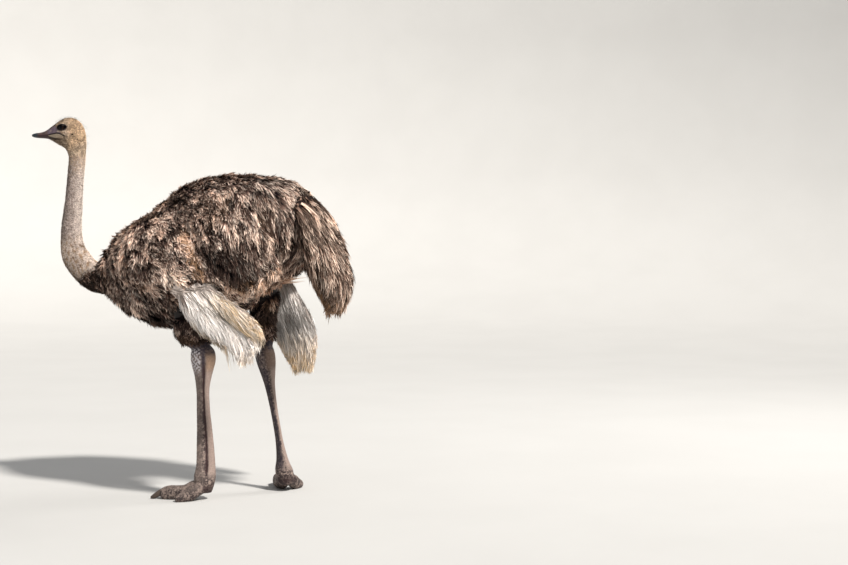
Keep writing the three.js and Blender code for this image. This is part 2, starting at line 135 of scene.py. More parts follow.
# Sections down a leg: share of the way between its joints, middle moved forward, half depth,
# half width.
THIGH = [
    (0.0, 0, 104, 78),
    (0.2, -4, 100, 80),
    (0.42, -8, 84, 68),
    (0.62, 8, 76, 54),
    (0.77, 12, 66, 47),
    (0.85, 3, 51, 39),
]
SHANK = [
    (-0.075, -2, 46, 38),
    (-0.035, -3, 51, 42),
    (0.02, -3, 51, 43),
    (0.08, -2, 44, 40),
    (0.15, -1, 35, 33),
    (0.26, 2, 27, 23),
    (0.42, 2, 28, 16.5),
    (0.58, -1, 32, 14.5),
    (0.74, -2, 37, 16),
    (0.88, -2, 40, 25),
    (0.97, 3, 45, 37),
    (1.04, 5, 39, 37),
    (1.1, 6, 29, 29),
]
# Sections along a toe: distance ahead of the ankle, height of the middle, half height, half width.
BIG_TOE = [
    (-16, 64, 32, 28),
    (10, 60, 36, 31),
    (40, 47, 35, 31),
    (66, 36, 37, 30),
    (92, 27, 32, 30),
    (122, 25, 31, 30),
    (150, 25, 31, 28),
    (176, 24, 26, 24),
    (192, 23, 17, 16),
]
OUTER_TOE = [
    (-8, 62, 26, 20),
    (16, 56, 28, 24),
    (42, 42, 28, 25),
    (68, 30, 30, 24),
    (94, 20, 24, 21),
    (118, 15, 18, 17),
    (134, 12, 11, 10),
]
CLAW = [
    (170, 31, 11, 12),
    (186, 28, 15, 14),
    (204, 20, 14, 12),
    (220, 11, 11, 9),
    (234, 4, 6, 4.5),
]
TOE_SHIFT = {"big": -2, "outer": 12}

# ---- small mathematics ------------------------------------------------------------------------


def unit(vectors):
    vectors = np.asarray(vectors, float)
    length = np.linalg.norm(vectors, axis=-1, keepdims=True)
    return vectors / np.maximum(length, 1e-12)


def ease(value, low, high):
    """0 below low, 1 above high, and smooth between them."""
    share = np.clip((np.asarray(value, float) - low) / (high - low), 0, 1)
    return share * share * (3 - 2 * share)


def bell(distance, width):
    return np.exp(-((distance / width) ** 2))


def dot(a, b):
    return np.sum(a * b, axis=-1)


def through(values, at):
    """A smooth curve through evenly spaced rows of numbers, read at shares from 0 to 1."""
    values = np.asarray(values, float)
    values = values.reshape(len(values), -1)
    last = len(values) - 1
    place = np.clip(at, 0, 1) * last
    i = np.minimum(place.astype(int), last - 1)
    s = (place - i)[:, None]
    p0 = values[np.maximum(i - 1, 0)]
    p1 = values[i]
    p2 = values[i + 1]
    p3 = values[np.minimum(i + 2, last)]
    slope1 = (p2 - p0) / 2
    slope2 = (p3 - p1) / 2
    cubic = 2 * p1 - 2 * p2 + slope1 + slope2
    square = -3 * p1 + 3 * p2 - 2 * slope1 - slope2
    return ((cubic * s + square) * s + slope1) * s + p1


def ripple(points, wavelength, seed):
    """A smooth field between about -1 and 1 that rolls over a given length."""
    rng = np.random.default_rng(seed)
    total = np.zeros(len(points))
    for _ in range(7):
        wave = unit(rng.normal(size=3)) * (2 * math.pi / wavelength) * rng.uniform(0.7, 1.5)
        total += np.sin(points @ wave + rng.uniform(0, 2 * math.pi))
    return total / 3.2


# ---- where things are ---------------------------------------------------------------------------


def box_middle(node):
    low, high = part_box(node)
    return (np.array(low) + np.array(high)) / 2


HEAD_SIDE = unit(box_middle("left_eye") - box_middle("right_eye"))
HEADING = np.cross(HEAD_SIDE, UP)
BETWEEN_EYES = (box_middle("left_eye") + box_middle("right_eye")) / 2
SKULL = BETWEEN_EYES - (HEADING * EYE["forward"] + UP * EYE["up"]) * MM
SKULL_IN_LEG_SIZES = np.array((67, -755, 1551)) * MM
PLACE = SKULL - SKULL_IN_LEG_SIZES


def in_head(forward, up, side=0.0):
    """A point in the plane of the neck and head, from its distances in millimetres."""
    forward, up, side = np.broadcast_arrays(forward, up, side)
    away = forward[..., None] * HEADING + up[..., None] * UP + side[..., None] * HEAD_SIDE
    return SKULL + away * MM


def from_head(points):
    """How far forward, up and to the left of the skull points lie, in millimetres."""
    away = (points - SKULL) / MM
    return away @ HEADING, away @ UP, away @ HEAD_SIDE


def turned_out(hand, degrees):
    turn = hand * math.radians(degrees)
    forward = np.array((math.sin(turn), -math.cos(turn), 0.0))
    side = np.array((math.cos(turn), math.sin(turn), 0.0))
    return forward, side


# ---- lofts --------------------------------------------------------------------------------------


def loft(low, high, side, half, at, sides, waist=0.5, power=2.0, sink=0.0):
    """Rings of points through sections: their lower and upper ends, side way and half width."""
    lows = through(low, at)
    highs = through(high, at)
    across = unit(through(side, at))
    halves = through(half, at) - sink
    rise = highs - lows
    centre = lows + rise * waist
    upward = unit(rise)
    tall = np.linalg.norm(rise, axis=1, keepdims=True)
    angle = 2 * math.pi * np.arange(sides) / sides
    a = np.sign(np.cos(angle)) * np.abs(np.cos(angle)) ** (2 / power)
    b = np.sign(np.sin(angle)) * np.abs(np.sin(angle)) ** (2 / power)
    reach = np.where(b > 0, tall * (1 - waist), tall * waist) - sink
    return (
        centre[:, None]
        + across[:, None] * (a[None, :, None] * halves[:, :, None])
        + upward[:, None] * (b * reach)[:, :, None]
    )


def shares_by_length(low, high, first, last, step):
    """Shares along sections such that rings come about evenly spaced."""
    at = np.linspace(first, last, 400)
    line = (through(low, at) + through(high, at)) / 2
    run = np.concatenate(([0], np.cumsum(np.linalg.norm(np.diff(line, axis=0), axis=1))))
    count = max(int(run[-1] / step), 4)
    return np.interp(np.linspace(0, run[-1], count + 1), run, at)


def rings_mesh(name, rings, closed=True):
    """A mesh through rings of points, closed on the middle of both ends, or of the first alone."""
    count, sides = rings.shape[:2]
    middles = [ring.mean(0) for ring in (rings[0], rings[-1])[: 2 if closed else 1]]
    points = np.concatenate((rings.reshape(-1, 3), middles))
    i, j = np.meshgrid(np.arange(count - 1), np.arange(sides), indexing="ij")
    k = (j + 1) % sides
    quads = np.stack((i * sides + j, i * sides + k, (i + 1) * sides + k, (i + 1) * sides + j), -1)
    quads = quads.reshape(-1, 4)
    turn = np.arange(sides)
    after = (turn + 1) % sides
    first = np.full(sides, count * sides)
    faces = [quads[:, [0, 1, 2]], quads[:, [0, 2, 3]], np.stack((first, after, turn), -1)]
    if closed:
        last_ring = (count - 1) * sides
        faces.append(np.stack((first + 1, last_ring + turn, last_ring + after), -1))
    return triangle_mesh(name, points, np.concatenate(faces))


def flat(values, kind=np.float32):
    return np.ascontiguousarray(values, kind).ravel()


def linked(name, data):
    """A new object in the scene."""
    made = bpy.data.objects.new(name, data)
    bpy.context.scene.collection.objects.link(made)
    return made


def triangle_mesh(name, points, triangles):
    """An object from arrays, linked to the scene and shaded smooth."""
    mesh = bpy.data.meshes.new(name)
    mesh.vertices.add(len(points))
    mesh.vertices.foreach_set("co", flat(points))
    mesh.loops.add(len(triangles) * 3)
    mesh.loops.foreach_set("vertex_index", flat(triangles, np.int32))
    mesh.polygons.add(len(triangles))
    mesh.polygons.foreach_set("loop_start", np.arange(len(triangles), dtype=np.int32) * 3)
    mesh.update(calc_edges=True)
    mesh.polygons.foreach_set("use_smooth", np.ones(len(triangles), bool))
    return linked(name, mesh)


def vectors_of(piece, what):
    values = np.empty(len(piece.data.vertices) * 3, np.float32)
    piece.data.vertices.foreach_get(what, values)
    return values.reshape(-1, 3).astype(float)


def points_of(piece):
    return vectors_of(piece, "co")


def normals_of(piece):
    return vectors_of(piece, "normal")


def move_points(piece, points):
    piece.data.vertices.foreach_set("co", flat(points))
    piece.data.update()


def triangles_of(piece):
    piece.data.calc_loop_triangles()
    corners = np.empty(len(piece.data.loop_triangles) * 3, np.int32)
    piece.data.loop_triangles.foreach_get("vertices", corners)
    return corners.reshape(-1, 3)


def settle(piece):
    """Applies a piece's modifiers to its mesh."""
    view = bpy.context.evaluated_depsgraph_get()
    view.update()
    done = bpy.data.meshes.new_from_object(piece.evaluated_get(view), depsgraph=view)
    old = piece.data
    piece.modifiers.clear()
    piece.data = done
    bpy.data.meshes.remove(old)
    done.polygons.foreach_set("use_smooth", np.ones(len(done.polygons), bool))
    return piece


def joined(name, pieces):
    """One object with the meshes of several, which go."""
    points = []
    triangles = []
    offset = 0
    for piece in pieces:
        co = points_of(piece)
        points.append(co)
        triangles.append(triangles_of(piece) + offset)
        offset += len(co)
        if "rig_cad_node" not in piece:
            bpy.data.objects.remove(piece)
    return triangle_mesh(name, np.concatenate(points), np.concatenate(triangles))


def fused(piece, voxel, smoothing):
    """Melts a piece's overlapping or touching shells into one even, soft mesh."""
    remesh = piece.modifiers.new("melt", "REMESH")
    remesh.mode = "VOXEL"
    remesh.voxel_size = voxel
    soften = piece.modifiers.new("soften", "SMOOTH")
    soften.factor = 0.5
    soften.iterations = smoothing
    return settle(piece)


def united(piece, other):
    """Adds another closed mesh to a piece as one body. The other one goes."""
    union = piece.modifiers.new("unite", "BOOLEAN")
    union.operation = "UNION"
    union.solver = "MANIFOLD"
    union.object = other
    settle(piece)
    bpy.data.objects.remove(other)
    return piece


def tree_of(piece):
    return BVHTree.FromPolygons(points_of(piece).tolist(), triangles_of(piece).tolist())


def nearest(tree, points):
    """The nearest surface points and their outward normals."""
    found = [tree.find_nearest(Vector(p)) for p in points]
    places = np.array([f[0] for f in found], float)
    ways = np.array([f[1] for f in found], float)
    return places, ways


def mark(piece, name, values):
    """Stores four numbers for each vertex, which the materials read."""
    layer = piece.data.attributes.new(name, "FLOAT_COLOR", "POINT")
    layer.data.foreach_set("color", flat(values))


def paint(piece, material):
    """Gives a piece its one material."""
    piece.data.materials.clear()
    piece.data.materials.append(material)
    return piece


# ---- materials ----------------------------------------------------------------------------------
# Colours that are the same in every look: red, green and blue.
PUPIL = (0.002, 0.002, 0.003)
EYE_RIM = (0.004, 0.003, 0.003)
IRIS_STREAKS = (0.012, 0.006, 0.004)
HORN_PIT = (0.012, 0.009, 0.009)
CLAW_SKIN = (0.1, 0.08, 0.09)
CLAW_RIDGE = (0.05, 0.04, 0.03)
BRISTLE_MIDDLE = (0.02, 0.015, 0.013)
BRISTLE_TIP = (0.05, 0.04, 0.035)
FLOOR_MOTTLE = (0.51, 0.505, 0.495)


class Nodes:
    """A short way to write a material's node tree."""

    def __init__(self, name, roughness, **constants):
        self.material = bpy.data.materials.new(name)
        self.material.use_nodes = True
        self.tree = self.material.node_tree
        self.shader = self.tree.nodes["Principled BSDF"]
        self.shader.inputs["Roughness"].default_value = roughness
        for socket, value in constants.items():
            self.shader.inputs[socket.replace("_", " ")].default_value = value

    def new(self, kind, inputs=None, **settings):
        node = self.tree.nodes.new("ShaderNode" + kind)
        for key, value in settings.items():
            setattr(node, key, value)
        for key, value in (inputs or {}).items():
            self.put(node.inputs[key], value)
        return node

    def put(self, socket, value):
        if isinstance(value, bpy.types.NodeSocket):
            self.tree.links.new(value, socket)
        elif socket.type == "RGBA":
            socket.default_value = (*value, 1.0)[:4]
        else:
            socket.default_value = value

    def channels(self, name):
        """The four numbers that mark() stored."""
        read = self.new("Attribute", attribute_name=name)
        split = self.new("SeparateColor", {"Color": read.outputs["Color"]})
        return (*split.outputs, read.outputs["Alpha"])

    def maths(self, operation, a, b=0.0, c=0.0):
        return self.new("Math", {0: a, 1: b, 2: c}, operation=operation).outputs[0]

    def times(self, a, b):
        return self.maths("MULTIPLY", a, b)

    def between(self, value, low, high, to_low=0.0, to_high=1.0):
        node = self.new("MapRange", interpolation_type="SMOOTHSTEP")
        sockets = ("Value", "From Min", "From Max", "To Min", "To Max")
        for key, number in zip(sockets, (value, low, high, to_low, to_high)):
            self.put(node.inputs[key], number)
        return node.outputs[0]

    def mix(self, share, a, b, blend="MIX"):
        node = self.new("Mix", data_type="RGBA", blend_type=blend)
        for key, value in (("Factor", share), ("A", a), ("B", b)):
            self.put(node.inputs[key], value)
        return node.outputs["Result"]

    def layers(self, base, *over):
        """A colour with others laid over it in turn, each by its share."""
        for share, colour in over:
            base = self.mix(share, base, colour)
        return base

    def noise(self, scale, detail=3.0, rough=0.55, where=None):
        inputs = {"Scale": scale, "Detail": detail, "Roughness": rough}
        inputs["Vector"] = where or self.new("TexCoord").outputs["Object"]
        return self.new("TexNoise", inputs).outputs["Fac"]

    def cells(self, scale):
        """Distance from the edges between the cells of an even mosaic."""
        inputs = {"Vector": self.new("TexCoord").outputs["Object"], "Scale": scale}
        return self.new("TexVoronoi", inputs, feature="DISTANCE_TO_EDGE").outputs["Distance"]

    def bump(self, height, strength, distance):
        node = self.new("Bump", {"Height": height, "Strength": strength, "Distance": distance})
        self.tree.links.new(node.outputs["Normal"], self.shader.inputs["Normal"])

    def colour(self, socket):
        self.put(self.shader.inputs["Base Color"], socket)
        return self.material

    def shaded(self, colour, value):
        """The material with a colour that is made lighter or darker by a value."""
        grey = self.new("CombineColor", {0: value, 1: value, 2: value}).outputs[0]
        return self.colour(self.mix(1.0, colour, grey, "MULTIPLY"))


def feather_material(name, root, middle, tip, pale, warm, streak, depth):
    """Feathers that run from a dark root to a light tip, each lock in its own tone.

    The plume marks hold the share along the lock, its tone, how pale and how warm it is.
    """
    m = Nodes(name, 0.78, Specular_IOR_Level=0.05)
    along, tone, pale_mark, warm_mark = m.channels("plume")
    run = m.maths("MULTIPLY_ADD", m.maths("SUBTRACT", tone, 0.5), 0.5, along)
    # the root colour is partly the feathers' own dark bases and partly painted shade deep among the
    # locks
    full = m.layers(
        root,
        (m.between(run, 0.36, 0.76), middle),
        (m.between(run, 0.70, 1.02), tip),
        (m.times(pale_mark, m.between(along, 0.4, 0.9)), pale),
        (m.times(warm_mark, m.between(along, 0.2, 0.7)), warm),
    )
    barbs = m.noise(9000.0, 1.0, 0.5, m.new("UVMap", uv_map="OFBake").outputs["UV"])
    shade = m.between(barbs, 0.3, 0.7, 1.0 - streak, 1.0 + streak * 0.6)
    own = m.between(tone, 0.0, 1.0, 1.0 - depth, 1.0 + depth * 0.8)
    m.bump(barbs, 0.25, 0.0006)
    return m.shaded(full, m.times(shade, own))


def skin_material(name, look):
    """Bare skin. The zone marks hold the leg, the dark, the mauve and the cream parts."""
    m = Nodes(name, 0.6, Specular_IOR_Level=0.24, Subsurface_Weight=0.0)
    leg, dark, mauve, cream = m.channels("zones")
    body, scute, groove_shade, shade = m.channels("relief")
    white, pink, tan, slate = m.channels("legs")
    gold, spots, low, _ = m.channels("face")
    blotch = m.noise(38.0, 4.0, 0.6)
    fine = m.noise(260.0, 3.0, 0.6)
    speckle = m.maths("MULTIPLY_ADD", m.noise(120.0, 4.0, 0.65), 0.6, m.times(blotch, 0.4))
    legs = m.layers(
        look.leg_dark,
        (m.between(speckle, 0.45, 0.60), look.leg_light),
        (m.times(scute, 0.6), look.scute),
        (m.times(tan, 0.85), look.leg_tan),
        (m.times(pink, 0.9), m.mix(m.between(speckle, 0.38, 0.55), look.leg_light, look.leg_pink)),
        # slate is in part painted shade, above the hock and on the right leg's hock
        (slate, look.leg_slate),
        (m.times(white, 0.9), look.leg_white),
        # painted shade in the grooves of the legs and under the ankles
        (groove_shade, look.leg_dusk),
    )
    whole = m.layers(
        look.down_dark,
        (m.between(fine, 0.3, 0.75), look.down_light),
        (gold, look.head_skin),
        (m.times(low, 0.4), look.feather_pale),
        (m.times(spots, 0.8), look.feather_tan),
        (leg, legs),
        (mauve, m.mix(m.between(blotch, 0.35, 0.65), look.lore, look.lore_light)),
        (cream, look.jaw),
        # the dark share is the dark skin, and painted shade in the jaw and nape folds and under the
        # chin
        (dark, look.lid),
        # painted shade: near-black skin under the body's feathers
        (body, look.under),
    )
    pebbles = m.between(m.cells(210.0), 0.0, 0.16)
    height = m.maths("MULTIPLY_ADD", pebbles, m.maths("MULTIPLY_ADD", leg, 0.75, 0.12), fine)
    m.bump(height, 0.55, 0.0012)
    lit = m.maths("SUBTRACT", 1.0, shade)
    return m.shaded(whole, m.times(m.between(fine, 0.25, 0.75, 0.78, 1.16), lit))


def horn_material(name, base, low, tip, ridge, roughness, skin):
    """Horn, darker towards its tip and along its ridge, that starts in the colour of the skin."""
    m = Nodes(name, roughness, Specular_IOR_Level=0.35)
    to_tip, on_ridge, pit, lower = m.channels("horn")
    stains = m.between(m.noise(90.0, 4.0), 0.35, 0.75, 0.0, 0.5)
    made = m.layers(
        base,
        (lower, low),
        (m.between(to_tip, -1.0, 0.0, 1.0, 0.0), m.mix(lower, skin, low)),
        (m.maths("ADD", m.maths("MAXIMUM", to_tip, 0.0), m.times(stains, 0.4)), tip),
        (on_ridge, ridge),
        (pit, HORN_PIT),
    )
    lines = m.noise(420.0, 2.0)
    m.bump(lines, 0.3, 0.0005)
    return m.shaded(made, m.between(lines, 0.3, 0.7, 0.85, 1.12))


def eye_material(name, look):
    """A wet eye: black pupil, streaked brown iris and dark rim, by distance from its axis."""
    m = Nodes(name, 0.08, IOR=1.36, Specular_IOR_Level=0.14)
    away, angle, _, _ = m.channels("eye")
    streaks = m.noise(40.0, 2.0, 0.6, m.new("CombineXYZ", {"X": angle, "Y": 0.0}).outputs[0])
    iris = m.mix(m.between(streaks, 0.35, 0.7), look.iris, IRIS_STREAKS)
    return m.colour(m.layers(
        PUPIL,
        (m.between(away, 0.40, 0.45), iris),
        (m.between(away, 0.62, 0.76), EYE_RIM),
    ))


def floor_material(name, look):
    """A plain pale floor with the faintest mottle."""
    m = Nodes(name, 0.85, Specular_IOR_Level=0.2)
    cloud = m.between(m.noise(1.3, 4.0), 0.3, 0.7, 0.0, 0.5)
    return m.colour(m.mix(cloud, look.floor, FLOOR_MOTTLE))


# ---- the head -----------------------------------------------------------------------------------
LID_OUTSIDE = 24.3  # millimetres from the middle of the eye to the outside of its lids
OPENING = {"forward": 15.0, "up": 21.2, "half": 20.5, "above": 11.0, "below": 10.0, "tilt": 7.0}
GAPE_FOLD = MOUTH[1:]
JAW_FOLD = [(84, -17), (66, -22), (50, -27), (34, -29.5), (16, -31)]
NAPE_FOLD = [(-28, -22), (-42, -27), (-60, -33)]
EAR = {"forward": -28.0, "up": -9.0, "long": 7.5, "tall": 5.0}
CANTHUS = [(-3, 23.5), (-17, 24.5)]  # the dark crease that runs back from the eye
# Swellings and hollows of the face: forward, up, half length, half height and rise.
FACE_SWELLS = [
    (20, 47, 26, 9, 4.5),
    (20, 2, 24, 8, 2.0),
    (56, 14, 13, 12, -3.5),
    (-26, -4, 11, 11, -2.0),
]
# Folds round the opening of the lids: distance outside it, half width, rise, and 1 or -1 for one
# that runs only above or below the eye.
LID_FOLDS = [(2.4, 1.6, 1.1, 0), (6.6, 1.3, -1.6, 1), (5.6, 1.1, -0.9, -1), (9.0, 1.1, -0.6, 0)]


def to_line(forward, up, line):
    """Distance in millimetres from points to a bent line, both in the plane of the head."""
    best = np.full(forward.shape, 1e9)
    for (f0, u0), (f1, u1) in zip(line, line[1:]):
        df, du = f1 - f0, u1 - u0
        along = ((forward - f0) * df + (up - u0) * du) / (df**2 + du**2)
        along = np.clip(along, 0, 1)
        gone = np.hypot(forward - f0 - along * df, up - u0 - along * du)
        best = np.minimum(best, gone)
    return best


def in_opening(forward, up):
    """How far inside the almond between the lids points are, in millimetres; negative outside."""
    tilt = math.radians(OPENING["tilt"])
    x = (forward - OPENING["forward"]) * math.cos(tilt) - (up - OPENING["up"]) * math.sin(tilt)
    y = (forward - OPENING["forward"]) * math.sin(tilt) + (up - OPENING["up"]) * math.cos(tilt)
    across = 1 - np.clip(np.abs(x) / OPENING["half"], 0, 1.3) ** 2.2
    upper = OPENING["above"] * np.sign(across) * np.abs(across) ** 0.85
    lower = OPENING["below"] * np.sign(across) * np.abs(across) ** 0.85
    return np.minimum(upper - y, y + lower)


def from_ear(forward, up):
    """Distance from the middle of the ear, which is 1 at its edge."""
    return np.hypot((forward - EAR["forward"]) / EAR["long"], (up - EAR["up"]) / EAR["tall"])


def face_side(forward, up, side):
    """How far out the skin of the face lies, from the plain loft's distance, in millimetres."""
    out = np.abs(side)
    swell = sum(
        rise * bell(forward - f, long) * bell(up - u, tall)
        for f, u, long, tall, rise in FACE_SWELLS
    )
    out = out + np.clip(out / 40, 0, 1) * swell
    # the lids lie over the ball of the eye, and open in an almond
    from_eye = np.hypot(forward - EYE["forward"], up - EYE["up"])
    ball = EYE["side"] + np.sqrt(np.maximum(LID_OUTSIDE**2 - from_eye**2, 0))
    near = ease(-from_eye, -30, -20) * (out > 12)
    soft = 2.2
    merged = np.maximum(out, ball) + soft * np.log1p(np.exp(-np.abs(out - ball) / soft)) * 0.5
    out = out + (merged - out) * near
    inside = in_opening(forward, up)
    for gone, width, rise, where in LID_FOLDS:
        here = (up - EYE["up"]) * where > 0 if where else 1.0
        out = out + rise * bell(inside + gone, width) * near * here
    under = EYE["side"] + np.sqrt(np.maximum(EYE["radius"] ** 2 - from_eye**2, 60)) - 3.0
    opened = out + (np.minimum(under, out) - out) * ease(inside, -0.7, 0.7)
    out = np.where(near > 0.5, opened, out)
    # the gape, the jaw below it, and the folds of the throat and nape
    cheek = ease(out, 6, 14) * ease(-forward, -78, -68)
    gape = to_line(forward, up, GAPE_FOLD)
    below = (up < -3) & (forward < BILL_FROM + 20)
    out = out - 3.0 * bell(gape, 2.2) * cheek
    out = out + 1.3 * bell(gape - 4.2, 2.4) * cheek * np.where(below, 1.0, 0.5)
    out = out - 1.2 * bell(to_line(forward, up, JAW_FOLD), 2.6) * cheek
    out = out - 1.4 * bell(to_line(forward, up, NAPE_FOLD), 2.4) * cheek
    # the ear, an open hollow with a low rim
    ear = from_ear(forward, up)
    out = out - 5.5 * ease(-ear, -1.05, -0.45) * cheek + 1.3 * bell(ear - 1.35, 0.3) * cheek
    return np.sign(side) * out


def sculpted(points):
    """The head's points with its lids, folds and ears."""
    forward, up, side = from_head(points)
    face = ease(up + forward * 0.55, -95, -60)
    out = side + (face_side(forward, up, side) - side) * face
    return points + ((out - side) * MM)[:, None] * HEAD_SIDE


NECK_AND_HEAD = NECK + HEAD
NECK_SIDES = 176
BILL_SIDES = 96
# Places among the head's sections: where the bill begins, and where the skin ends, inside it.
BILL_START = 10.45
SKIN_END = 11.15


def head_sections(rows):
    rows = np.array(rows, float)
    low = in_head(rows[:, 0], rows[:, 1])
    high = in_head(rows[:, 2], rows[:, 3])
    return low, high, np.repeat(HEAD_SIDE[None], len(rows), 0), rows[:, 4] * MM


def neck_rings(first, last, step, sides, sink):
    low, high, side, half = head_sections(NECK_AND_HEAD)
    whole = len(NECK_AND_HEAD) - 1
    at = shares_by_length(low, high, first / whole, last / whole, step)
    return loft(low, high, side, half, at, sides, sink=sink)


def neck_and_head_skin():
    """The neck in even rings, then the head in fine ones, as one closed tube."""
    throat = len(NECK)
    neck = neck_rings(0.2, throat, 6.0 * MM, NECK_SIDES, 2.0 * MM)
    head = neck_rings(throat, throat + SKIN_END, 1.15 * MM, NECK_SIDES, 0.0)[1:]
    # the coat is thinner on the head than on the neck
    thin = ease(np.arange(len(head)) / 40, 0, 1)[:, None, None]
    middle = head.mean(1, keepdims=True)
    inward = unit(middle - head)
    coat = inward * 2.0 * MM * (1 - thin) + inward * 0.5 * MM * thin
    # the skin ends well inside the bill
    forward = from_head(middle.reshape(-1, 3))[0].reshape(-1, 1, 1)
    coat = coat + inward * 3.5 * MM * ease(forward, 77.5, 80)
    made = rings_mesh("neck_and_head", np.concatenate((neck, head + coat)))
    move_points(made, sculpted(points_of(made)))
    return made


def mouth_level(forward):
    line = np.array(MOUTH[::-1], float)
    return np.interp(forward, line[:, 0], line[:, 1])


NOSTRIL = 101  # millimetres ahead of the skull to the middle of the nostril


def build_bill(name, upper, material):
    """Half of the bill: the loft of its sections, kept on one side of the line of the mouth."""
    low, high, side, half = head_sections(HEAD)
    whole = len(HEAD) - 1
    at = shares_by_length(low, high, BILL_START / whole, 1.0, 1.0 * MM)
    rings = loft(low, high, side, half, at, BILL_SIDES)
    points = rings.reshape(-1, 3)
    forward, up, out = from_head(points)
    level = mouth_level(forward)
    gap = 0.35
    widest = np.abs(out).reshape(rings.shape[:2]).max(1).repeat(BILL_SIDES)
    edge = np.abs(out) / np.maximum(widest, 1)
    if upper:
        # the upper half folds a little over the lower, and hooks at its tip
        brim = level + gap - 1.0 * ease(edge, 0.75, 1.0) - 1.6 * ease(forward, 143, 153)
        inner = level + 2.2 - 1.2 * ease(forward, 143, 153)
        new_up = np.maximum(up, np.where(edge > 0.78, brim, inner))
        new_up = new_up + 0.9 * bell(out, 3.2) * (up > level + 2) * ease(-forward, -146, -132)
        behind = (forward - NOSTRIL) / 8.5
        slot = (up - level - 7.0 + (forward - NOSTRIL) * 0.12) / 1.7
        nostril = bell(behind, 1.0) * bell(slot, 1.0)
        new_out = out - np.sign(out) * 3.0 * nostril
        nail = ease(forward, 128, 134) * (up > level + 1)
        new_up = new_up + 0.7 * nail * ease(-np.abs(out), -13, -6)
    else:
        brim = level - gap - 0.3
        new_up = np.minimum(up, np.where(edge > 0.8, brim, level - 2.0))
        nostril = np.zeros(len(forward))
        new_out = out * 0.965
        new_up = new_up - 0.5 * bell(out, 4.0) * (up < level - 3)
    outward = ((new_out - out) * MM)[:, None] * HEAD_SIDE
    moved = points + ((new_up - up) * MM)[:, None] * UP + outward
    made = rings_mesh(name, moved.reshape(rings.shape))
    forward, up, out = from_head(points_of(made))
    to_tip = ease(forward, 118, 136)
    above = up - mouth_level(forward)
    at_base = ease(-forward + 1.2 * ripple(points_of(made), 0.006, 7), -86, -77.5)
    ridge = bell(out, 7.0) * ease(above, 4, 9) * 0.85
    low = ease(-above, -4.5, -1.0)
    if not upper:
        ridge = np.zeros(len(forward))
        low = np.ones(len(forward))
    pit = np.concatenate((nostril, (0, 0)))
    mark(made, "horn", np.stack((to_tip - at_base, ridge, ease(pit, 0.35, 0.8), low), 1))
    return paint(made, material)


def build_eye(name, hand, material):
    """The ball of an eye with its clear front standing a little proud, marked from its axis."""
    middle = in_head(EYE["forward"], EYE["up"], hand * EYE["side"])
    axis = unit(hand * HEAD_SIDE + 0.12 * HEADING + 0.02 * UP)
    across = unit(np.cross(axis, UP))
    upward = np.cross(across, axis)
    away = np.linspace(0.0, math.pi, 40)
    turn = np.linspace(0, 2 * math.pi, 64, endpoint=False)
    radius = (EYE["radius"] - 0.35 + 0.9 * bell(away / 0.5, 1.0)) * MM
    rings = []
    for angle, reach in zip(away[1:-1], radius[1:-1]):
        ring = middle + reach * (
            math.cos(angle) * axis
            + math.sin(angle) * (np.cos(turn)[:, None] * across + np.sin(turn)[:, None] * upward)
        )
        rings.append(ring)
    made = rings_mesh(name, np.array(rings))
    ways = unit(points_of(made) - middle)
    tilt = np.arccos(np.clip(ways @ axis, -1, 1))
    spin = np.arctan2(ways @ upward, ways @ across)
    mark(made, "eye", np.stack((tilt, spin, tilt * 0, tilt * 0), 1))
    return paint(made, material)


# ---- the legs -----------------------------------------------------------------------------------
VOXEL_LEG = 2.6 * MM
VOXEL_BODY = 10.0 * MM
LEG_LENGTH = 508  # millimetres from hock to ankle


def leg_point(numbers):
    return np.array(numbers, float) * MM + PLACE * (1, 1, 0)


def swept(middle, way, side, rows, step, sides, **form):
    """Rings round a bent line, with the rows' half depths along one way and half widths across."""
    low = middle - way * rows[:, 2:3] * MM
    high = middle + way * rows[:, 2:3] * MM
    across = np.repeat(side[None], len(rows), 0)
    at = shares_by_length(low, high, 0.0, 1.0, step)
    return loft(low, high, across, rows[:, 3] * MM, at, sides, **form)


def limb_rings(leg, start, end, rows, step, sides, sink=0.0):
    """Level sections down one length of a leg."""
    forward, side = turned_out(leg["hand"], leg["leg_out"])
    rows = np.array(rows, float)
    start = leg_point(leg[start])
    end = leg_point(leg[end])
    middle = start + (end - start) * rows[:, :1] + forward * rows[:, 1:2] * MM
    return swept(middle, forward, side, rows, step, sides, sink=sink)


def toe_rings(leg, rows, splay, shift, step, sides):
    """Upright sections along a toe, pressed flat on the floor."""
    forward, side = turned_out(leg["hand"], leg["toe_out"] + splay)
    foot = leg_point(leg["ankle"]) * (1, 1, 0)
    rows = np.array(rows, float)
    middle = foot + forward * rows[:, :1] * MM + side * leg["hand"] * shift * MM
    rings = swept(middle + UP * rows[:, 1:2] * MM, UP, side, rows, step, sides, power=2.3)
    rings[..., 2] = np.maximum(rings[..., 2], 0.0)
    return rings


def toes_of(leg):
    """Each toe's sections, its turn from the big toe and its shift to the side."""
    return (
        (BIG_TOE, 0, TOE_SHIFT["big"]),
        (OUTER_TOE, leg["toe_spread"], TOE_SHIFT["outer"]),
    )


def along_limb(leg, points):
    """Share from hock to ankle of points, and how far ahead and to the side, 1 at the skin."""
    forward, side = turned_out(leg["hand"], leg["leg_out"])
    hock = leg_point(leg["hock"])
    ankle = leg_point(leg["ankle"])
    share = (hock[2] - points[:, 2]) / (hock[2] - ankle[2])
    rows = np.array(SHANK, float)
    ahead, deep, wide = (np.interp(share, rows[:, 0], rows[:, i]) * MM for i in (1, 2, 3))
    middle = hock + (ankle - hock) * share[:, None] + forward * ahead[:, None]
    away = points - middle
    front = away @ forward / deep
    out = away @ side / wide
    return share, front, out


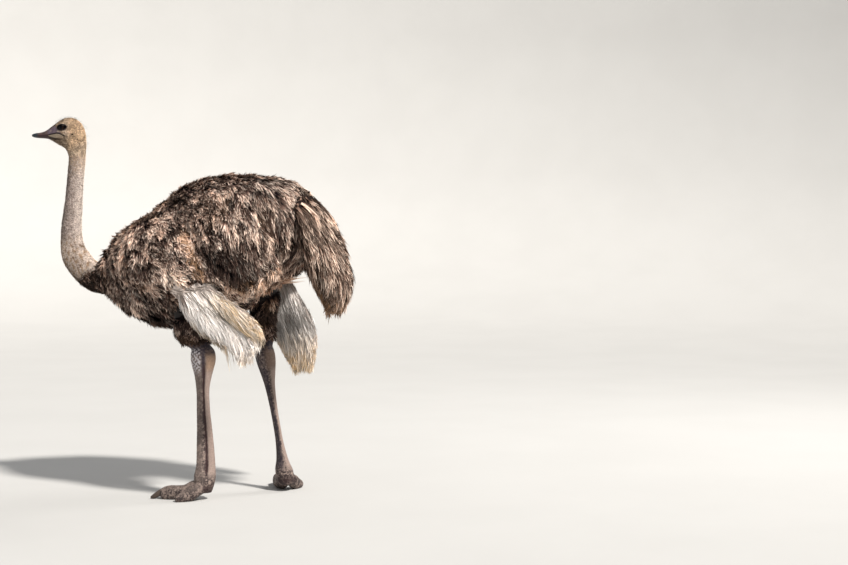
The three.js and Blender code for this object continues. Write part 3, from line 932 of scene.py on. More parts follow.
def along_toe(leg, rows, splay, shift, points):
    """Distance ahead of the ankle, sideways share and height of points, for one toe."""
    forward, side = turned_out(leg["hand"], leg["toe_out"] + splay)
    foot = leg_point(leg["ankle"]) * (1, 1, 0)
    away = points - foot - side * leg["hand"] * shift * MM
    ahead = away @ forward / MM
    rows = np.array(rows, float)
    wide = np.interp(ahead, rows[:, 0], rows[:, 3])
    top = np.interp(ahead, rows[:, 0], rows[:, 1] + rows[:, 2])
    return ahead, away @ side / MM / wide, points[:, 2] / MM / top


def plates(run, pitch):
    """Rows of plates one after another: 1 on a plate, 0 in the groove between two."""
    phase = np.abs((run / pitch) % 1.0 - 0.5) * 2
    return 1 - ease(phase, 0.72, 1.0)


def scuted(leg, points, normals):
    """The leg's points with plates down its front and along its toes, and creases at its joints."""
    share, front, out = along_limb(leg, points)
    run = share * LEG_LENGTH
    rise = np.zeros(len(points))
    scute = np.zeros(len(points))
    # the hock's front and the shin: broad plates that shrink to pebbles at the sides
    on_front = ease(front, 0.35, 0.75) * ease(share, -0.10, -0.02) * ease(-share, -1.02, -0.94)
    wander = 0.25 * ripple(points, 0.06, 5)
    rise += 1.1 * MM * (plates(run + 6 * wander, 11.5) - 0.75) * on_front
    scute += on_front * plates(run + 6 * wander, 11.5)
    # the hock's rear: thick puckered skin
    rear = ease(-front, 0.3, 0.8) * ease(share, -0.10, -0.04) * ease(-share, -0.16, -0.08)
    rise += 0.9 * MM * rear * (plates(run + 9 * wander, 8.5) - 0.6)
    # the groove between the shin bone and the tendons, with painted shade in it
    groove = bell(front + 0.17, 0.15) * ease(share, 0.0, 0.1) * ease(-share, -0.99, -0.9)
    groove = groove * ease(np.abs(out), 0.25, 0.6)
    rise -= 4.5 * MM * groove
    # creases round the ankle
    ankle = bell(share - 1.0, 0.07)
    rise += 0.8 * MM * ankle * (plates(run + 4 * wander, 9.0) - 0.6)
    # painted shade in the groove and under the rear of the raised ankle
    groove_shade = np.clip(1.1 * groove + 0.8 * bell(share - 1.06, 0.035) * ease(-front, -0.4, 0.2), 0, 1)
    # the toes: a row of plates along each, thick at the knuckles
    for rows, splay, shift in toes_of(leg):
        ahead, sideways, height = along_toe(leg, rows, splay, shift, points)
        end = -rows[-1][0]
        here = ease(ahead, 6, 24) * ease(-ahead, end - 2, end + 12)
        here = here * ease(-np.abs(sideways), -1.2, -0.95)
        on_top = ease(height, 0.6, 0.85) * here
        rise += 1.2 * MM * (plates(ahead, 9.5) - 0.7) * on_top
        scute += on_top * plates(ahead, 9.5) * 0.8
        # pads bulge between the creases of the sole
        flank = ease(-height, -0.72, -0.45) * here
        rise += 1.6 * MM * flank * (plates(ahead + 14, 46) - 0.5)
        scute += 0.15 * flank
    lift = ease(points[:, 2], 0.5 * MM, 8 * MM)
    moved = points + normals * (rise * lift)[:, None]
    return moved, np.clip(scute, 0, 1), groove_shade


def leg_tones(leg, points):
    """How white, pink, tan and slate the skin of a leg is round its hock and down its shank; the
    slate is in part painted shade, above the hock and on the right leg's hock.
    """
    share, front, out = along_limb(leg, points)
    inner = -leg["hand"] * out
    hock = ease(share, -0.10, -0.05) * ease(-share, -0.15, -0.07)
    shank = ease(share, 0.06, 0.14) * ease(-share, -1.0, -0.92)
    spots = ease(ripple(points, 0.014, 6), -0.35, 0.35)
    # the white is fainter on the right leg: painted shade
    white = hock * ease(front, 0.0, 0.25) * spots * (0.65 + 0.35 * leg["hand"])
    pink = shank * ease(-front, 0.24, 0.42) * ease(-inner, -0.1, 0.35)
    tan = hock * ease(-front, 0.2, 0.4) * ease(-inner, -0.5, 0.1)
    # slate above the hock is in part painted shade under the body
    slate = ease(-share, 0.01, 0.06) * (0.92 - 0.3 * spots)
    slate = np.maximum(slate, 0.9 * hock * bell(front + 0.1, 0.2))
    # painted shade: the right leg's hock is darker
    if leg["hand"] < 0:
        slate = np.maximum(slate, 0.4 * hock)
    slate = np.maximum(slate, 0.75 * shank * ease(inner, 0.0, 0.4) * ease(-front, -0.3, 0.3))
    return np.stack((white, pink, tan, slate), 1)


def build_leg_skin(leg):
    """Thigh, shank and toes melted into one mesh, with its plates and creases."""
    thigh = np.array(THIGH, float)
    thigh[:, 2:] -= 11 * ease(-thigh[:, :1], -0.86, -0.62)
    limb = np.concatenate((
        limb_rings(leg, "knee", "hock", thigh, 6 * MM, 64, sink=0.5 * MM),
        limb_rings(leg, "hock", "ankle", SHANK, 4 * MM, 64),
    ))
    parts = [rings_mesh("limb", limb)]
    for toe, sides in zip(toes_of(leg), (56, 48)):
        parts.append(rings_mesh("toe", toe_rings(leg, *toe, 3 * MM, sides)))
    made = fused(joined("leg", parts), VOXEL_LEG, 5)
    points = points_of(made)
    moved = scuted(leg, points, normals_of(made))[0]
    # the soles stay flat on the floor
    moved[:, 2] = np.where(points[:, 2] < 1.6 * MM, 0.0, np.maximum(moved[:, 2], 0.0))
    move_points(made, moved)
    return made


# ---- the skin -----------------------------------------------------------------------------------
BODY_NODES = ("trunk", "left_wing", "right_wing", "left_flank_plumes", "right_flank_plumes")
FLESH_NODES = BODY_NODES + (
    "head", "neck_upper", "neck_middle", "neck_lower",
    "left_thigh", "right_thigh", "left_shank", "right_shank",
    "left_big_toe", "right_big_toe", "left_outer_toe", "right_outer_toe",
)


def sunk(piece, depth, most=0.42):
    """Moves a form's surface inwards by a coat's depth, or by less where the form is thin."""
    tree = tree_of(piece)
    points = points_of(piece)
    ways = normals_of(piece)
    thick = np.empty(len(points))
    for i, (p, n) in enumerate(zip(points, ways)):
        hit = tree.ray_cast(Vector(p - n * 0.5 * MM), Vector(-n))
        thick[i] = hit[3] if hit[3] is not None else 1.0
    inward = np.minimum(depth(points) if callable(depth) else depth, thick * most)
    move_points(piece, points - ways * inward[:, None])
    soften = piece.modifiers.new("soften", "SMOOTH")
    soften.iterations = 6
    return settle(piece)


def form_of(name, nodes, voxel, smoothing, depth, most=0.42):
    """A soft form over some of the solids, sunk below their surface."""
    made = fused(joined(name, [frame["nodes"][n] for n in nodes]), voxel, smoothing)
    return sunk(made, depth, most)


def bare_face(points):
    """1 on the bare skin between bill, eye and gape, on the jaw's pale stripe and on the lids."""
    forward, up, side = from_head(points)
    heights = (-30, -24, -18, -8, 0, 8, 16, 26, 36, 46)
    rear = np.interp(up, heights, (78, 34, 12, 14, 20, 27, 34, 44, 64, 92))
    lids = ease(in_opening(forward, up), -7.0, -5.0)
    bare = np.maximum(ease(forward - rear, -3, 4), lids) * (np.abs(side) > 9) * (up > -36)
    return bare * (1 - forehead(points))


def forehead(points):
    """1 along the dark feathered ridge from the bill to the front of the crown."""
    forward, up, _ = from_head(points)
    top = np.interp(forward, (5, 27, 46, 65, 82, 97), (64, 54, 41, 27.5, 16, 7))
    drop = np.interp(forward, (10, 30, 45, 80), (1.5, 3.0, 7.5, 8.0))
    return ease(forward, 4, 26) * ease(up - top + drop, -2.0, 2.0)


def zones_of(points):
    """Which part of the bird the skin belongs to: leg, dark (with painted shade in the jaw and nape
    folds and under the chin), mauve and cream shares.
    """
    forward, up, side = from_head(points)
    on_head = ease(up, -75, -55)
    leg = ease(-points[:, 2], -0.80, -0.74)
    beside = ease(np.abs(side), 8, 15) * on_head
    gape = to_line(forward, up, GAPE_FOLD)
    ear = from_ear(forward, up)
    darks = (
        ease(in_opening(forward, up), -6.6, -4.4),
        bell(to_line(forward, up, CANTHUS), 2.3),
        ease(-gape, -3.6, -1.7),
        ease(-np.hypot(forward - 6, (up + 14.5) * 1.3), -6.5, -3.0),
        ease(-ear, -1.0, -0.5),
        # painted shade along the line under the jaw and in the nape's fold
        0.95 * bell(to_line(forward, up, JAW_FOLD) - 1.0, 3.2) * ease(forward, 16, 50),
        0.5 * bell(to_line(forward, up, NAPE_FOLD), 2.2),
    )
    dark = np.maximum.reduce(darks) * beside
    dark = np.maximum(dark, 0.9 * forehead(points) * on_head)
    # painted shade under the chin, below the jaw's lower edge
    bottom = np.interp(forward, (10, 30, 48, 64, 84), (-22, -25.5, -24, -20, -13.5))
    chin = ease(forward, 46, 62) * ease(bottom - up, -1, 2) * ease(up, -60, -50)
    dark = np.maximum(dark, 0.8 * chin)
    jaw = ease(up - bottom, -1.5, 1.5) * ease(forward, 9, 20) * beside
    jaw = jaw * (up < np.interp(forward, (10, 37, 56, 84), (-14, -6, -9, -11)))
    spots = bell(np.hypot(forward - 31, (up - 4.5) * 1.3), 5.0)
    spots = spots + 0.7 * bell(np.hypot(forward - 67, up - 7), 3.0)
    mauve = bare_face(points) * ease(up, -14, -6) * (1 - jaw) * beside
    return np.stack((leg, dark, mauve, np.clip(jaw + spots * beside, 0, 1)), 1)


def golden_of(points):
    """How golden the skin and down are: the head and the nape, not the neck."""
    forward, up, _ = from_head(points)
    return ease(up + 0.35 * forward, -180, -80)


def behind_collar(points):
    """Metres behind the slanting edge where the neck's down gives way to the body's feathers."""
    heights = (0.84, 0.93, 1.0, 1.1, 1.2)
    return points[:, 1] - np.interp(points[:, 2], heights, (-0.37, -0.362, -0.35, -0.30, -0.22))


def neck_base(points):
    """Tan spots on the base of the neck, and how near its base points lie."""
    low = ease(-points[:, 2], -1.14, -1.02)
    return ease(ripple(points, 0.022, 81), 0.1, 0.6) * low, low


def in_collar(points):
    """1 below the slanting line where the neck's pale down ends in a dark collar."""
    line = 0.925 + 0.75 * (points[:, 1] + 0.52) + 0.006 * ripple(points, 0.03, 87)
    return ease(line - points[:, 2], -0.012, 0.02)


def relief_of(points):
    """Marks of the body and the legs: under the feathers, where the skin is painted near black as
    shade, plates, painted shade in the grooves, and shade.
    """
    marks = np.zeros((len(points), 4))
    feathered = np.maximum(ease(behind_collar(points), -0.01, 0.02), in_collar(points))
    # painted shade: the skin under the feathers is coloured near black, so gaps read as deep shade
    marks[:, 0] = ease(points[:, 2], 0.645, 0.68) * feathered
    for leg in LEGS:
        near = (np.sign(points[:, 0]) == leg["hand"]) & (points[:, 2] < 0.72)
        still = np.zeros((int(near.sum()), 3))
        marks[near, 1], marks[near, 2] = scuted(leg, points[near], still)[1:]
        marks[near, 3] = 0.25 * ease(-points[near, 2], -0.075, -0.035)
    return marks


def build_skin(look):
    """One closed skin from the bill's base to the toes."""
    def depth(points):
        """Full under the feathers, and next to nothing where the neck begins."""
        high = 0.75 * ease(points[:, 2], 0.98, 1.06)
        share = np.maximum(ease(behind_collar(points), -0.03, 0.06), high)
        return look.coat_depth * (0.1 + 0.9 * share)

    skin = form_of("skin", BODY_NODES, VOXEL_BODY, 8, depth)
    body = linked("body_form", skin.data.copy())
    skin = fused(skin, VOXEL_BODY, 2)
    united(skin, neck_and_head_skin())
    for leg in LEGS:
        united(skin, build_leg_skin(leg))
    skin.name = skin.data.name = "skin"
    points = points_of(skin)
    tones = np.zeros((len(points), 4))
    for leg in LEGS:
        below = (np.sign(points[:, 0]) == leg["hand"]) & (points[:, 2] < 0.8)
        tones[below] = leg_tones(leg, points[below])
    mark(skin, "legs", tones)
    spots, low = neck_base(points)
    mark(skin, "face", np.stack((golden_of(points), spots, low, 0 * low), 1))
    mark(skin, "zones", zones_of(points))
    mark(skin, "relief", relief_of(points))
    return paint(skin, skin_material("ostrich_skin", look)), body


# ---- feathers -----------------------------------------------------------------------------------
PATCH = 0.003  # side of a lock's patch on the coat's unwrap
DOWN = -UP


class Form:
    """A surface that feathers grow from."""

    def __init__(self, piece, foot, head):
        self.tree = tree_of(piece)
        self.corners = points_of(piece)[triangles_of(piece)]
        a, b, c = np.moveaxis(self.corners, 1, 0)
        edges = np.cross(b - a, c - a)
        self.area = np.linalg.norm(edges, axis=1) / 2
        self.ways = unit(edges)
        self.lay_along(foot, head)

    def lay_along(self, foot, head):
        """Sets the line that the form is unwrapped along."""
        self.foot = np.array(foot, float)
        self.axis = np.array(head, float) - self.foot

    def part(self, chosen, foot, head):
        """Some of the form's triangles, unwrapped along a line of their own."""
        some = copy.copy(self)
        some.corners = self.corners[chosen]
        some.area = self.area[chosen]
        some.ways = self.ways[chosen]
        some.lay_along(foot, head)
        return some

    def scatter(self, count, density, rng):
        """Roots spread evenly over the surface, closer where density is higher."""
        middle = self.corners.mean(1)
        weight = np.cumsum(self.area * density(middle, self.ways))
        at = (np.arange(count) + rng.uniform(0, 1, count)) / count * weight[-1]
        pick = np.minimum(np.searchsorted(weight, at), len(weight) - 1)
        a, b = rng.uniform(0, 1, (2, count))
        fold = a + b > 1
        a = np.where(fold, 1 - a, a)[:, None]
        b = np.where(fold, 1 - b, b)[:, None]
        corner = self.corners[pick]
        roots = corner[:, 0] * (1 - a - b) + corner[:, 1] * a + corner[:, 2] * b
        return roots, self.ways[pick]

    def unwrap(self, points):
        """The form slit along its under side and rolled flat, from 0 to 1 both ways."""
        away = points - self.foot
        run = away @ self.axis / (self.axis @ self.axis)
        out = away - run[:, None] * self.axis
        side = unit(np.cross(self.axis, UP))
        above = unit(np.cross(side, self.axis))
        turn = np.arctan2(out @ side, out @ above) / (2 * math.pi) + 0.5
        return np.stack((0.01 + 0.975 * turn, np.clip(run, 0.0, 0.99)), 1)


def tangent(ways, normals):
    return unit(ways - dot(ways, normals)[:, None] * normals)


def turned(ways, normals, angle):
    """Directions turned about the surface's normals."""
    return ways * np.cos(angle)[:, None] + np.cross(normals, ways) * np.sin(angle)[:, None]


def walked(tree, roots, normals, heading, lie, reach, steps):
    """Lines over a surface from their roots, which hang down once they have left its edge.

    Gives the points, the outward ways, and how far each line ran before it hung free.
    """
    step = (reach / steps)[:, None]
    line = [roots]
    ways = [normals]
    point = roots
    way = normals
    free = np.zeros(len(roots), bool)
    ran = np.zeros(len(roots))
    for _ in range(steps):
        ahead = point + heading * step
        surface, outward = nearest(tree, ahead)
        free = free | (dot(ahead - surface, heading) > 0.45 * step[:, 0])
        ran += np.where(free, 0.0, step[:, 0])
        loose = free[:, None]
        point = np.where(loose, ahead, surface)
        way = unit(np.where(loose, way, 0.4 * way + outward))
        lain = 0.6 * heading + 0.4 * tangent(lie(point, way), way)
        heading = unit(np.where(loose, 0.6 * heading + 0.4 * DOWN, lain))
        way = tangent(way, heading)
        line.append(point)
        ways.append(way)
    return np.stack(line, 1), np.stack(ways, 1), ran


def tufted(lines, style, rng):
    """Draws neighbouring locks together towards their tips. Gives each lock's tuft number too."""
    count, rows = lines.shape[:2]
    leaders = rng.choice(count, max(count // style["tuft"], 1), replace=False)
    finder = KDTree(len(leaders))
    for i, leader in enumerate(leaders):
        finder.insert(Vector(lines[leader, 0]), i)
    finder.balance()
    near = min(7, len(leaders))
    choices = np.array([[f[1] for f in finder.find_n(Vector(root), near)] for root in lines[:, 0]])
    flow = unit(np.gradient(lines, axis=1))
    # a tuft takes in more locks along the lie than across it
    away = lines[leaders[choices], 0] - lines[:, None, 0]
    run = dot(away, flow[:, None, 0])
    gap = np.linalg.norm(away - run[..., None] * flow[:, None, 0], axis=-1)
    best = np.argmin(gap**2 + (0.4 * run) ** 2, axis=1)
    tuft = choices[np.arange(count), best]
    gap = lines[leaders[tuft]] - lines
    gap -= 0.75 * dot(gap, flow)[..., None] * flow
    share = style["pull"] * np.linspace(0, 1, rows) ** 1.3
    return lines + gap * share[None, :, None], tuft


def overhang(points):
    """The plumes at the top of the rump reach further past its edge, over the tail."""
    return 1 + 2.0 * ease(points[:, 1], 0.42, 0.52) * ease(points[:, 2], 1.08, 1.18)


def combed(form, roots, normals, lie, reach, style, rng):
    """The middle line of each lock, along the lie of the coat to just past the form's edge."""
    heading = tangent(lie(roots, normals), normals)
    heading = turned(heading, normals, rng.normal(0, style["stray"], len(roots)))
    steps = style["steps"]
    ran = walked(form.tree, roots, normals, heading, lie, reach, steps)[2]
    beyond = style["beyond"] * MM * rng.uniform(0.4, 1.5, len(roots)) * overhang(roots)
    beyond *= 1 + style.get("ragged", 0.0) * ripple(roots, 0.024, 77)
    reach = np.clip(ran + beyond, 0.3 * reach, reach)
    lines, ways = walked(form.tree, roots, normals, heading, lie, reach, steps)[:2]
    lines[:, 0] -= heading * style["rooted"] * MM * rng.uniform(0.1, 1.15, (len(roots), 1))
    return lines, ways


def blade_piece(name, lines, ways, where, marks, rise, style, rng):
    """A joined mesh of thin tapered blades, several to a lock.

    lines and ways are the locks' middle lines and outward ways, and where their roots' places on
    the unwrap. marks holds their tone, pale and warm shares and the share of their colouring that
    they start at, and rise how far they stand out. Sizes in style are in millimetres.
    """
    count, steps = lines.shape[:2]
    blades = style["blades"]
    shares = np.array(style.get("shares", (0, 0.28, 0.58, 0.84, 1.0)))
    rows = len(shares)
    flow = unit(np.gradient(lines, axis=1))
    across = unit(np.cross(ways, flow))
    reach = rng.uniform(style["shortest"], 1.0, (count, blades))
    place = shares[None, None] * reach[..., None] * (steps - 1)
    i = np.minimum(place.astype(int), steps - 2)
    part = (place - i)[..., None]
    lock = np.arange(count)[:, None, None]

    def read(field):
        return field[lock, i] * (1 - part) + field[lock, i + 1] * part

    middle = read(lines)
    out = unit(read(ways))
    side = unit(read(across))
    s = shares[None, None, :]
    seat = np.linspace(-1, 1, blades)[None, :, None] if blades > 1 else np.zeros((1, 1, 1))
    seat = seat + rng.uniform(-0.35, 0.35, (count, blades, 1))
    spread = style["spread"] * rng.uniform(0.7, 1.3, (count, 1, 1))
    gather = style["gather"] * rng.uniform(0.4, 1.5, (count, 1, 1))
    bow = rng.normal(0, style["bow"], (count, blades, 1))
    bow = bow + rng.normal(0, style["bow"], (count, 1, 1))
    offset = seat * spread * (1 - gather * s) + bow * s**2
    lift = style["lift"] * rise[:, None, None] * rng.uniform(0.7, 1.2, (count, 1, 1))
    lift = lift * rng.uniform(0.75, 1.15, (count, blades, 1))
    curl = style["curl"] * rng.normal(0.5, 0.7, (count, 1, 1))
    curl = curl + rng.normal(0, style["curl"] * 0.35, (count, blades, 1))
    height = style.get("root", -1.0) + lift * s**0.75 + curl * np.clip((s - 0.45) / 0.55, 0, 1) ** 2
    middle = middle + (side * offset[..., None] + out * height[..., None]) * MM
    tilt = 0.45 * seat + rng.normal(0, style["tilt"], (count, blades, 1))
    face = side * np.cos(tilt)[..., None] + out * np.sin(tilt)[..., None]
    shape = np.interp(shares, (0, 0.3, 0.6, 0.85, 1), (0.55, 1, 0.85, 0.5, 0))
    width = style["width"] * shape * rng.uniform(0.65, 1.3, (count, blades, 1))
    half = face * (width[..., None] * MM / 2)
    left = middle[:, :, :-1] - half[:, :, :-1]
    right = middle[:, :, :-1] + half[:, :, :-1]
    pairs = np.stack((left, right), 3).reshape(count, blades, (rows - 1) * 2, 3)
    points = np.concatenate((pairs, middle[:, :, -1:]), 2)
    each = points.shape[2]
    template = []
    for a in range(0, 2 * (rows - 2), 2):
        template += [(a, a + 1, a + 3), (a, a + 3, a + 2)]
    template.append((each - 3, each - 2, each - 1))
    starts = np.arange(count * blades)[:, None, None] * each
    triangles = (np.array(template)[None] + starts).reshape(-1, 3)
    made = triangle_mesh(name, points.reshape(-1, 3), triangles)
    # a small patch on the unwrap for each lock, laid out as the lock is
    run = np.concatenate((np.repeat(shares[:-1], 2), [1.0]))
    edge = np.concatenate((np.tile((0.1, 0.9), rows - 1), [0.5]))
    u = where[:, None, None, 0] + PATCH * (np.arange(blades)[None, :, None] + edge) / blades
    v = where[:, None, None, 1] + PATCH * run + np.zeros((count, blades, each))
    uv = np.stack((u, v), -1).reshape(-1, 2)
    layer = made.data.uv_layers.new(name="OFBake")
    layer.data.foreach_set("uv", flat(uv[triangles.ravel()]))
    tone = np.clip(marks[:, None, 0] + rng.normal(0, style["fleck"], (count, blades)), 0, 1)
    full = np.empty((count, blades, each, 4), np.float32)
    full[..., 0] = marks[:, None, None, 3] + (1 - marks[:, None, None, 3]) * run
    full[..., 1] = tone[..., None]
    full[..., 2] = marks[:, None, None, 1]
    full[..., 3] = marks[:, None, None, 2]
    mark(made, "plume", full.reshape(-1, 4))
    return made


def coat_piece(name, form, count, density, lie, length, style, marks, material, seed):
    """Locks of feathers over part of a form. density and marks are fields over it.

    length is a field or one number, in millimetres.
    """
    rng = np.random.default_rng(seed)
    roots, normals = form.scatter(count, density, rng)
    reach = length(roots) if callable(length) else length
    reach = reach * rng.uniform(0.75, 1.2, count) * MM
    lines, ways = combed(form, roots, normals, lie, reach, style, rng)
    lines, tuft = tufted(lines, style, rng)
    shares = marks(roots, normals, rng)
    shares[:, 0] += rng.normal(0, style["patchy"], count)[tuft]
    rise = np.clip(1 + rng.normal(0, 0.22, count)[tuft] + 0.16 * ripple(roots, 0.08, 92), 0.4, 1.4)
    rise = rise * style["swell"](roots, normals)
    made = blade_piece(name, lines, ways, form.unwrap(roots), shares, rise, style, rng)
    return paint(made, material)


# ---- the lie, length and markings of the plumage ------------------------------------------------
BACK = np.array((0.0, 1.0, 0.0))
# The parting between the near white plume's two lobes, darkened with painted shade, as (y, z) of
# its ends.
PARTING = ((0.165, 0.895), (0.47, 0.728))


def marked(points, tone, pale=0.0, warm=0.0, start=0.0):
    """Each lock's tone, pale and warm shares, and the share of its colouring that it starts at."""
    shares = (tone, pale, warm, start)
    return np.stack([np.clip(np.broadcast_to(each, len(points)), 0, 1) for each in shares], 1)


def body_lie(points, normals):
    """Backwards along the back, downwards on the sides, more steeply towards the rump."""
    rear = ease(points[:, 1], 0.12, 0.45)[:, None]
    front = ease(-points[:, 1], -0.05, 0.2)[:, None]
    way = BACK * (0.80 - 0.30 * rear - 0.22 * front)
    way = tangent(way + DOWN * (0.62 + 0.55 * rear + 0.42 * front), normals)
    swirl = 0.36 * ripple(points, 0.17, 11) + 0.26 * ripple(points, 0.06, 12)
    return turned(way, normals, swirl * (1 - 0.55 * rear[:, 0]))


def hung(points, normals, back, swirl, wavelength, seed):
    """Downwards, and backwards by a slope, with a soft swirl."""
    way = DOWN + back[:, None] * BACK
    return turned(tangent(way, normals), normals, swirl * ripple(points, wavelength, seed))


def tail_lie(points, normals):
    heights = (0.80, 0.87, 0.95, 1.1, 1.3)
    back = np.interp(points[:, 2], heights, (-0.35, -0.1, 0.2, 0.45, 1.1))
    return hung(points, normals, back, 0.16, 0.09, 21)


def left_plume_lie(points, normals):
    """Splayed below the parting, so that the plume ends in two lobes."""
    heights = (0.61, 0.66, 0.70, 0.74, 0.79, 0.84, 0.89, 0.93)
    back = np.interp(points[:, 2], heights, (-0.1, 0.5, 1.1, 1.35, 1.25, 1.05, 0.9, 0.62))
    back = back * (1 - 0.55 * ease(-over_parting(points), 0.012, 0.05))
    return hung(points, normals, back, 0.12, 0.10, 31)


def right_plume_lie(points, normals):
    heights = (0.52, 0.57, 0.63, 0.70, 0.79, 0.87, 0.93)
    back = np.interp(points[:, 2], heights, (0.0, 0.1, 0.24, 0.4, 0.52, 0.46, 0.39))
    return hung(points, normals, back, 0.12, 0.10, 32)


def neck_lie(points, normals):
    """Down the neck towards the body, and back over the head."""
    rows = np.array(NECK_AND_HEAD, float)
    at = np.linspace(0, 1, 240)
    line = through((in_head(rows[:, 0], rows[:, 1]) + in_head(rows[:, 2], rows[:, 3])) / 2, at)
    flow = -unit(np.gradient(line, axis=0))
    gaps = ((points[:, None] - line[None]) ** 2).sum(-1)
    way = tangent(flow[np.argmin(gaps, axis=1)], normals)
    return turned(way, normals, 0.3 * ripple(points, 0.05, 41))


def near_line(y, z, start, end):
    """Distance of places on the side of the body from a line, both as (y, z)."""
    start = np.array(start)
    way = np.array(end) - start
    share = np.clip(((y - start[0]) * way[0] + (z - start[1]) * way[1]) / (way @ way), 0, 1)
    return np.hypot(y - start[0] - share * way[0], z - start[1] - share * way[1])


def body_marks(points, normals, rng):
    """Tone, pale and warm shares of the body's locks."""
    count = len(points)
    y, z = points[:, 1], points[:, 2]
    away = np.abs(points[:, 0])
    tone = 0.50 + 0.12 * ripple(points, 0.11, 51) + rng.normal(0, 0.09, count)
    # painted shade in the hollow behind the wing, and painted shade low on the belly and on the
    # lower front of the breast
    hollow = np.hypot((y - 0.36) / 0.16, (z - 1.0) / 0.125) + 0.25 * ripple(points, 0.07, 53)
    tone -= 0.8 * ease(-hollow, -1.1, -0.4) * ease(away, 0.15, 0.22)
    tone += 0.09 * ease(away, 0.2, 0.26) * ease(z, 1.04, 1.14) * ease(-y, -0.2, -0.1)
    tone -= 0.09 * ease(y, 0.30, 0.45)
    tone -= 0.42 * ease(-z, -0.86, -0.76)
    tone -= 0.32 * ease(-y, 0.12, 0.36) * ease(-z, -0.98, -0.84)
    # a light fringe under the dome, and a pale ridge where the long plumes of the rump begin, its
    # paleness partly the fringe's own colour and partly a painted highlight on the lit edge
    rim = bell(z - (0.895 + 0.09 * ease(y, 0.38, 0.55)), 0.036) * ease(y, 0.22, 0.32)
    ridge = ease(-near_line(y, z, (0.38, 1.31), (0.56, 1.325)), -0.032, -0.010)
    tone += 0.75 * rim
    tone += 0.05 * ridge
    pale = 0.04 + 0.16 * ridge + 0.6 * rng.uniform(0, 1, count) * (rng.uniform(0, 1, count) > 0.76)
    # a white streak leads into the near white plume
    streak = ease(-near_line(y, z, (0.07, 0.955), (0.15, 0.90)), -0.026, -0.012)
    streak = streak * (points[:, 0] > 0.2)
    tone += 0.4 * streak
    pale = np.maximum(pale, streak)
    # painted shade: locks that face up are made darker, toning down the lit top
    tone -= 0.08 * ease(normals[:, 2], 0.6, 0.95)
    # the wing's rear edge is tan
    edge = near_line(y, z, (0.105, 1.12), (0.24, 0.94))
    warm = 0.75 * ease(-edge, -0.024, -0.006) * ease(away, 0.2, 0.26)
    warm = np.maximum(warm, 0.75 * rim * rng.uniform(0, 1, count))
    patches = ease(ripple(points, 0.16, 52), 0.2, 1.0)
    warm = np.maximum(warm, 0.3 * patches * rng.uniform(0, 1, count))
    return marked(points, tone, pale, warm)


def tail_marks(points, normals, rng):
    """Darker under the rump, painted shade; darker and warm along the front edge; and light at the
    top, painted light that lifts the shade under the rump's overhang.
    """
    count = len(points)
    tone = 0.29 + 0.20 * ripple(points * (1, 1, 0.35), 0.04, 61) + rng.normal(0, 0.10, count)
    # painted shade under the rump
    tone -= 0.30 * ease(-points[:, 1], -0.57, -0.50) * ease(-points[:, 2], -1.16, -1.06)
    ahead = np.interp(points[:, 2], (0.86, 1.015), (0.671, 0.578)) + 0.055 - points[:, 1]
    front = ease(ahead, 0.0, 0.03) * ease(-points[:, 2], -1.06, -1.0)
    tone -= 0.22 * front
    # painted light: locks at the top are lighter and start past their dark roots, against the shade
    # under the rump's overhang
    top = ease(points[:, 2], 1.10, 1.20)
    tone += 0.04 * top
    pale = 0.12 + 0.4 * (rng.uniform(0, 1, count) > 0.8) * ease(points[:, 1], 0.55, 0.68)
    warm = 0.3 * ease(-points[:, 2], -0.92, -0.80) + 0.15 + 0.6 * front
    return marked(points, tone, pale, warm, 0.58 * top)


def over_parting(points):
    """Metres above the near white plume's parting, along the side of the body."""
    (y0, z0), (y1, z1) = PARTING
    above = (points[:, 2] - z0) * (y1 - y0) - (points[:, 1] - y0) * (z1 - z0)
    return above / math.hypot(y1 - y0, z1 - z0) + 0.004


def plume_marks(points, normals, rng):
    """White plumes: bright, with a warm parting darkened by painted shade, a painted shadow of the
    body across the far plume, and golden ends.
    """
    count = len(points)
    y, z = points[:, 1], points[:, 2]
    tone = 0.66 + 0.14 * ripple(points * (1, 0.6, 0.6), 0.045, 71) + rng.normal(0, 0.12, count)
    left = points[:, 0] > 0
    above = over_parting(points)
    # painted shade in the crease of the parting, which is warm brown as well
    parting = bell(above, 0.009) * left * ease(y, 0.17, 0.22)
    tone -= 0.75 * parting
    tone -= 0.06 * ease(above, 0.0, 0.02) * left
    rear = ease(above, 0.0, 0.02) * ease(y, 0.20, 0.36) * left
    warm = 1.0 * rear + 0.7 * ease(-z, -0.72, -0.60)
    warm = np.where(left, warm, 1.1 * ease(-z, -0.78, -0.60)) * rng.uniform(0.25, 1.0, count)
    # painted shadow of the body, cast across the middle of the far plume
    shade = ease(-np.abs(z - 0.80), -0.12, -0.02) * ~left
    tone -= 0.40 * shade
    tone -= 0.35 * (rng.uniform(0, 1, count) > 0.7) * ease(-z, -0.74, -0.62) * ~left
    # the brown fringe below the near plume's front lobe
    fringe = ease(-above, 0.055, 0.10) * ease(-y, -0.40, -0.31) * left
    tone -= 0.50 * fringe
    warm = np.maximum(warm, 0.8 * fringe)
    return marked(points, tone, 0.3, warm + 0.7 * parting)


def collar_marks(points, normals, rng):
    """The dark, mottled brown fringe where the neck runs into the body, with painted shade where it
    faces down.
    """
    tone = 0.13 + 0.16 * ripple(points, 0.035, 84) + rng.normal(0, 0.14, len(points))
    # lighter higher up, and darker where the locks face down: painted shade
    tone += 0.16 * ease(points[:, 2], 0.95, 1.1) - 0.2 * ease(-normals[:, 2], 0.0, 0.7)
    return marked(points, tone, 0.05, 0.1)


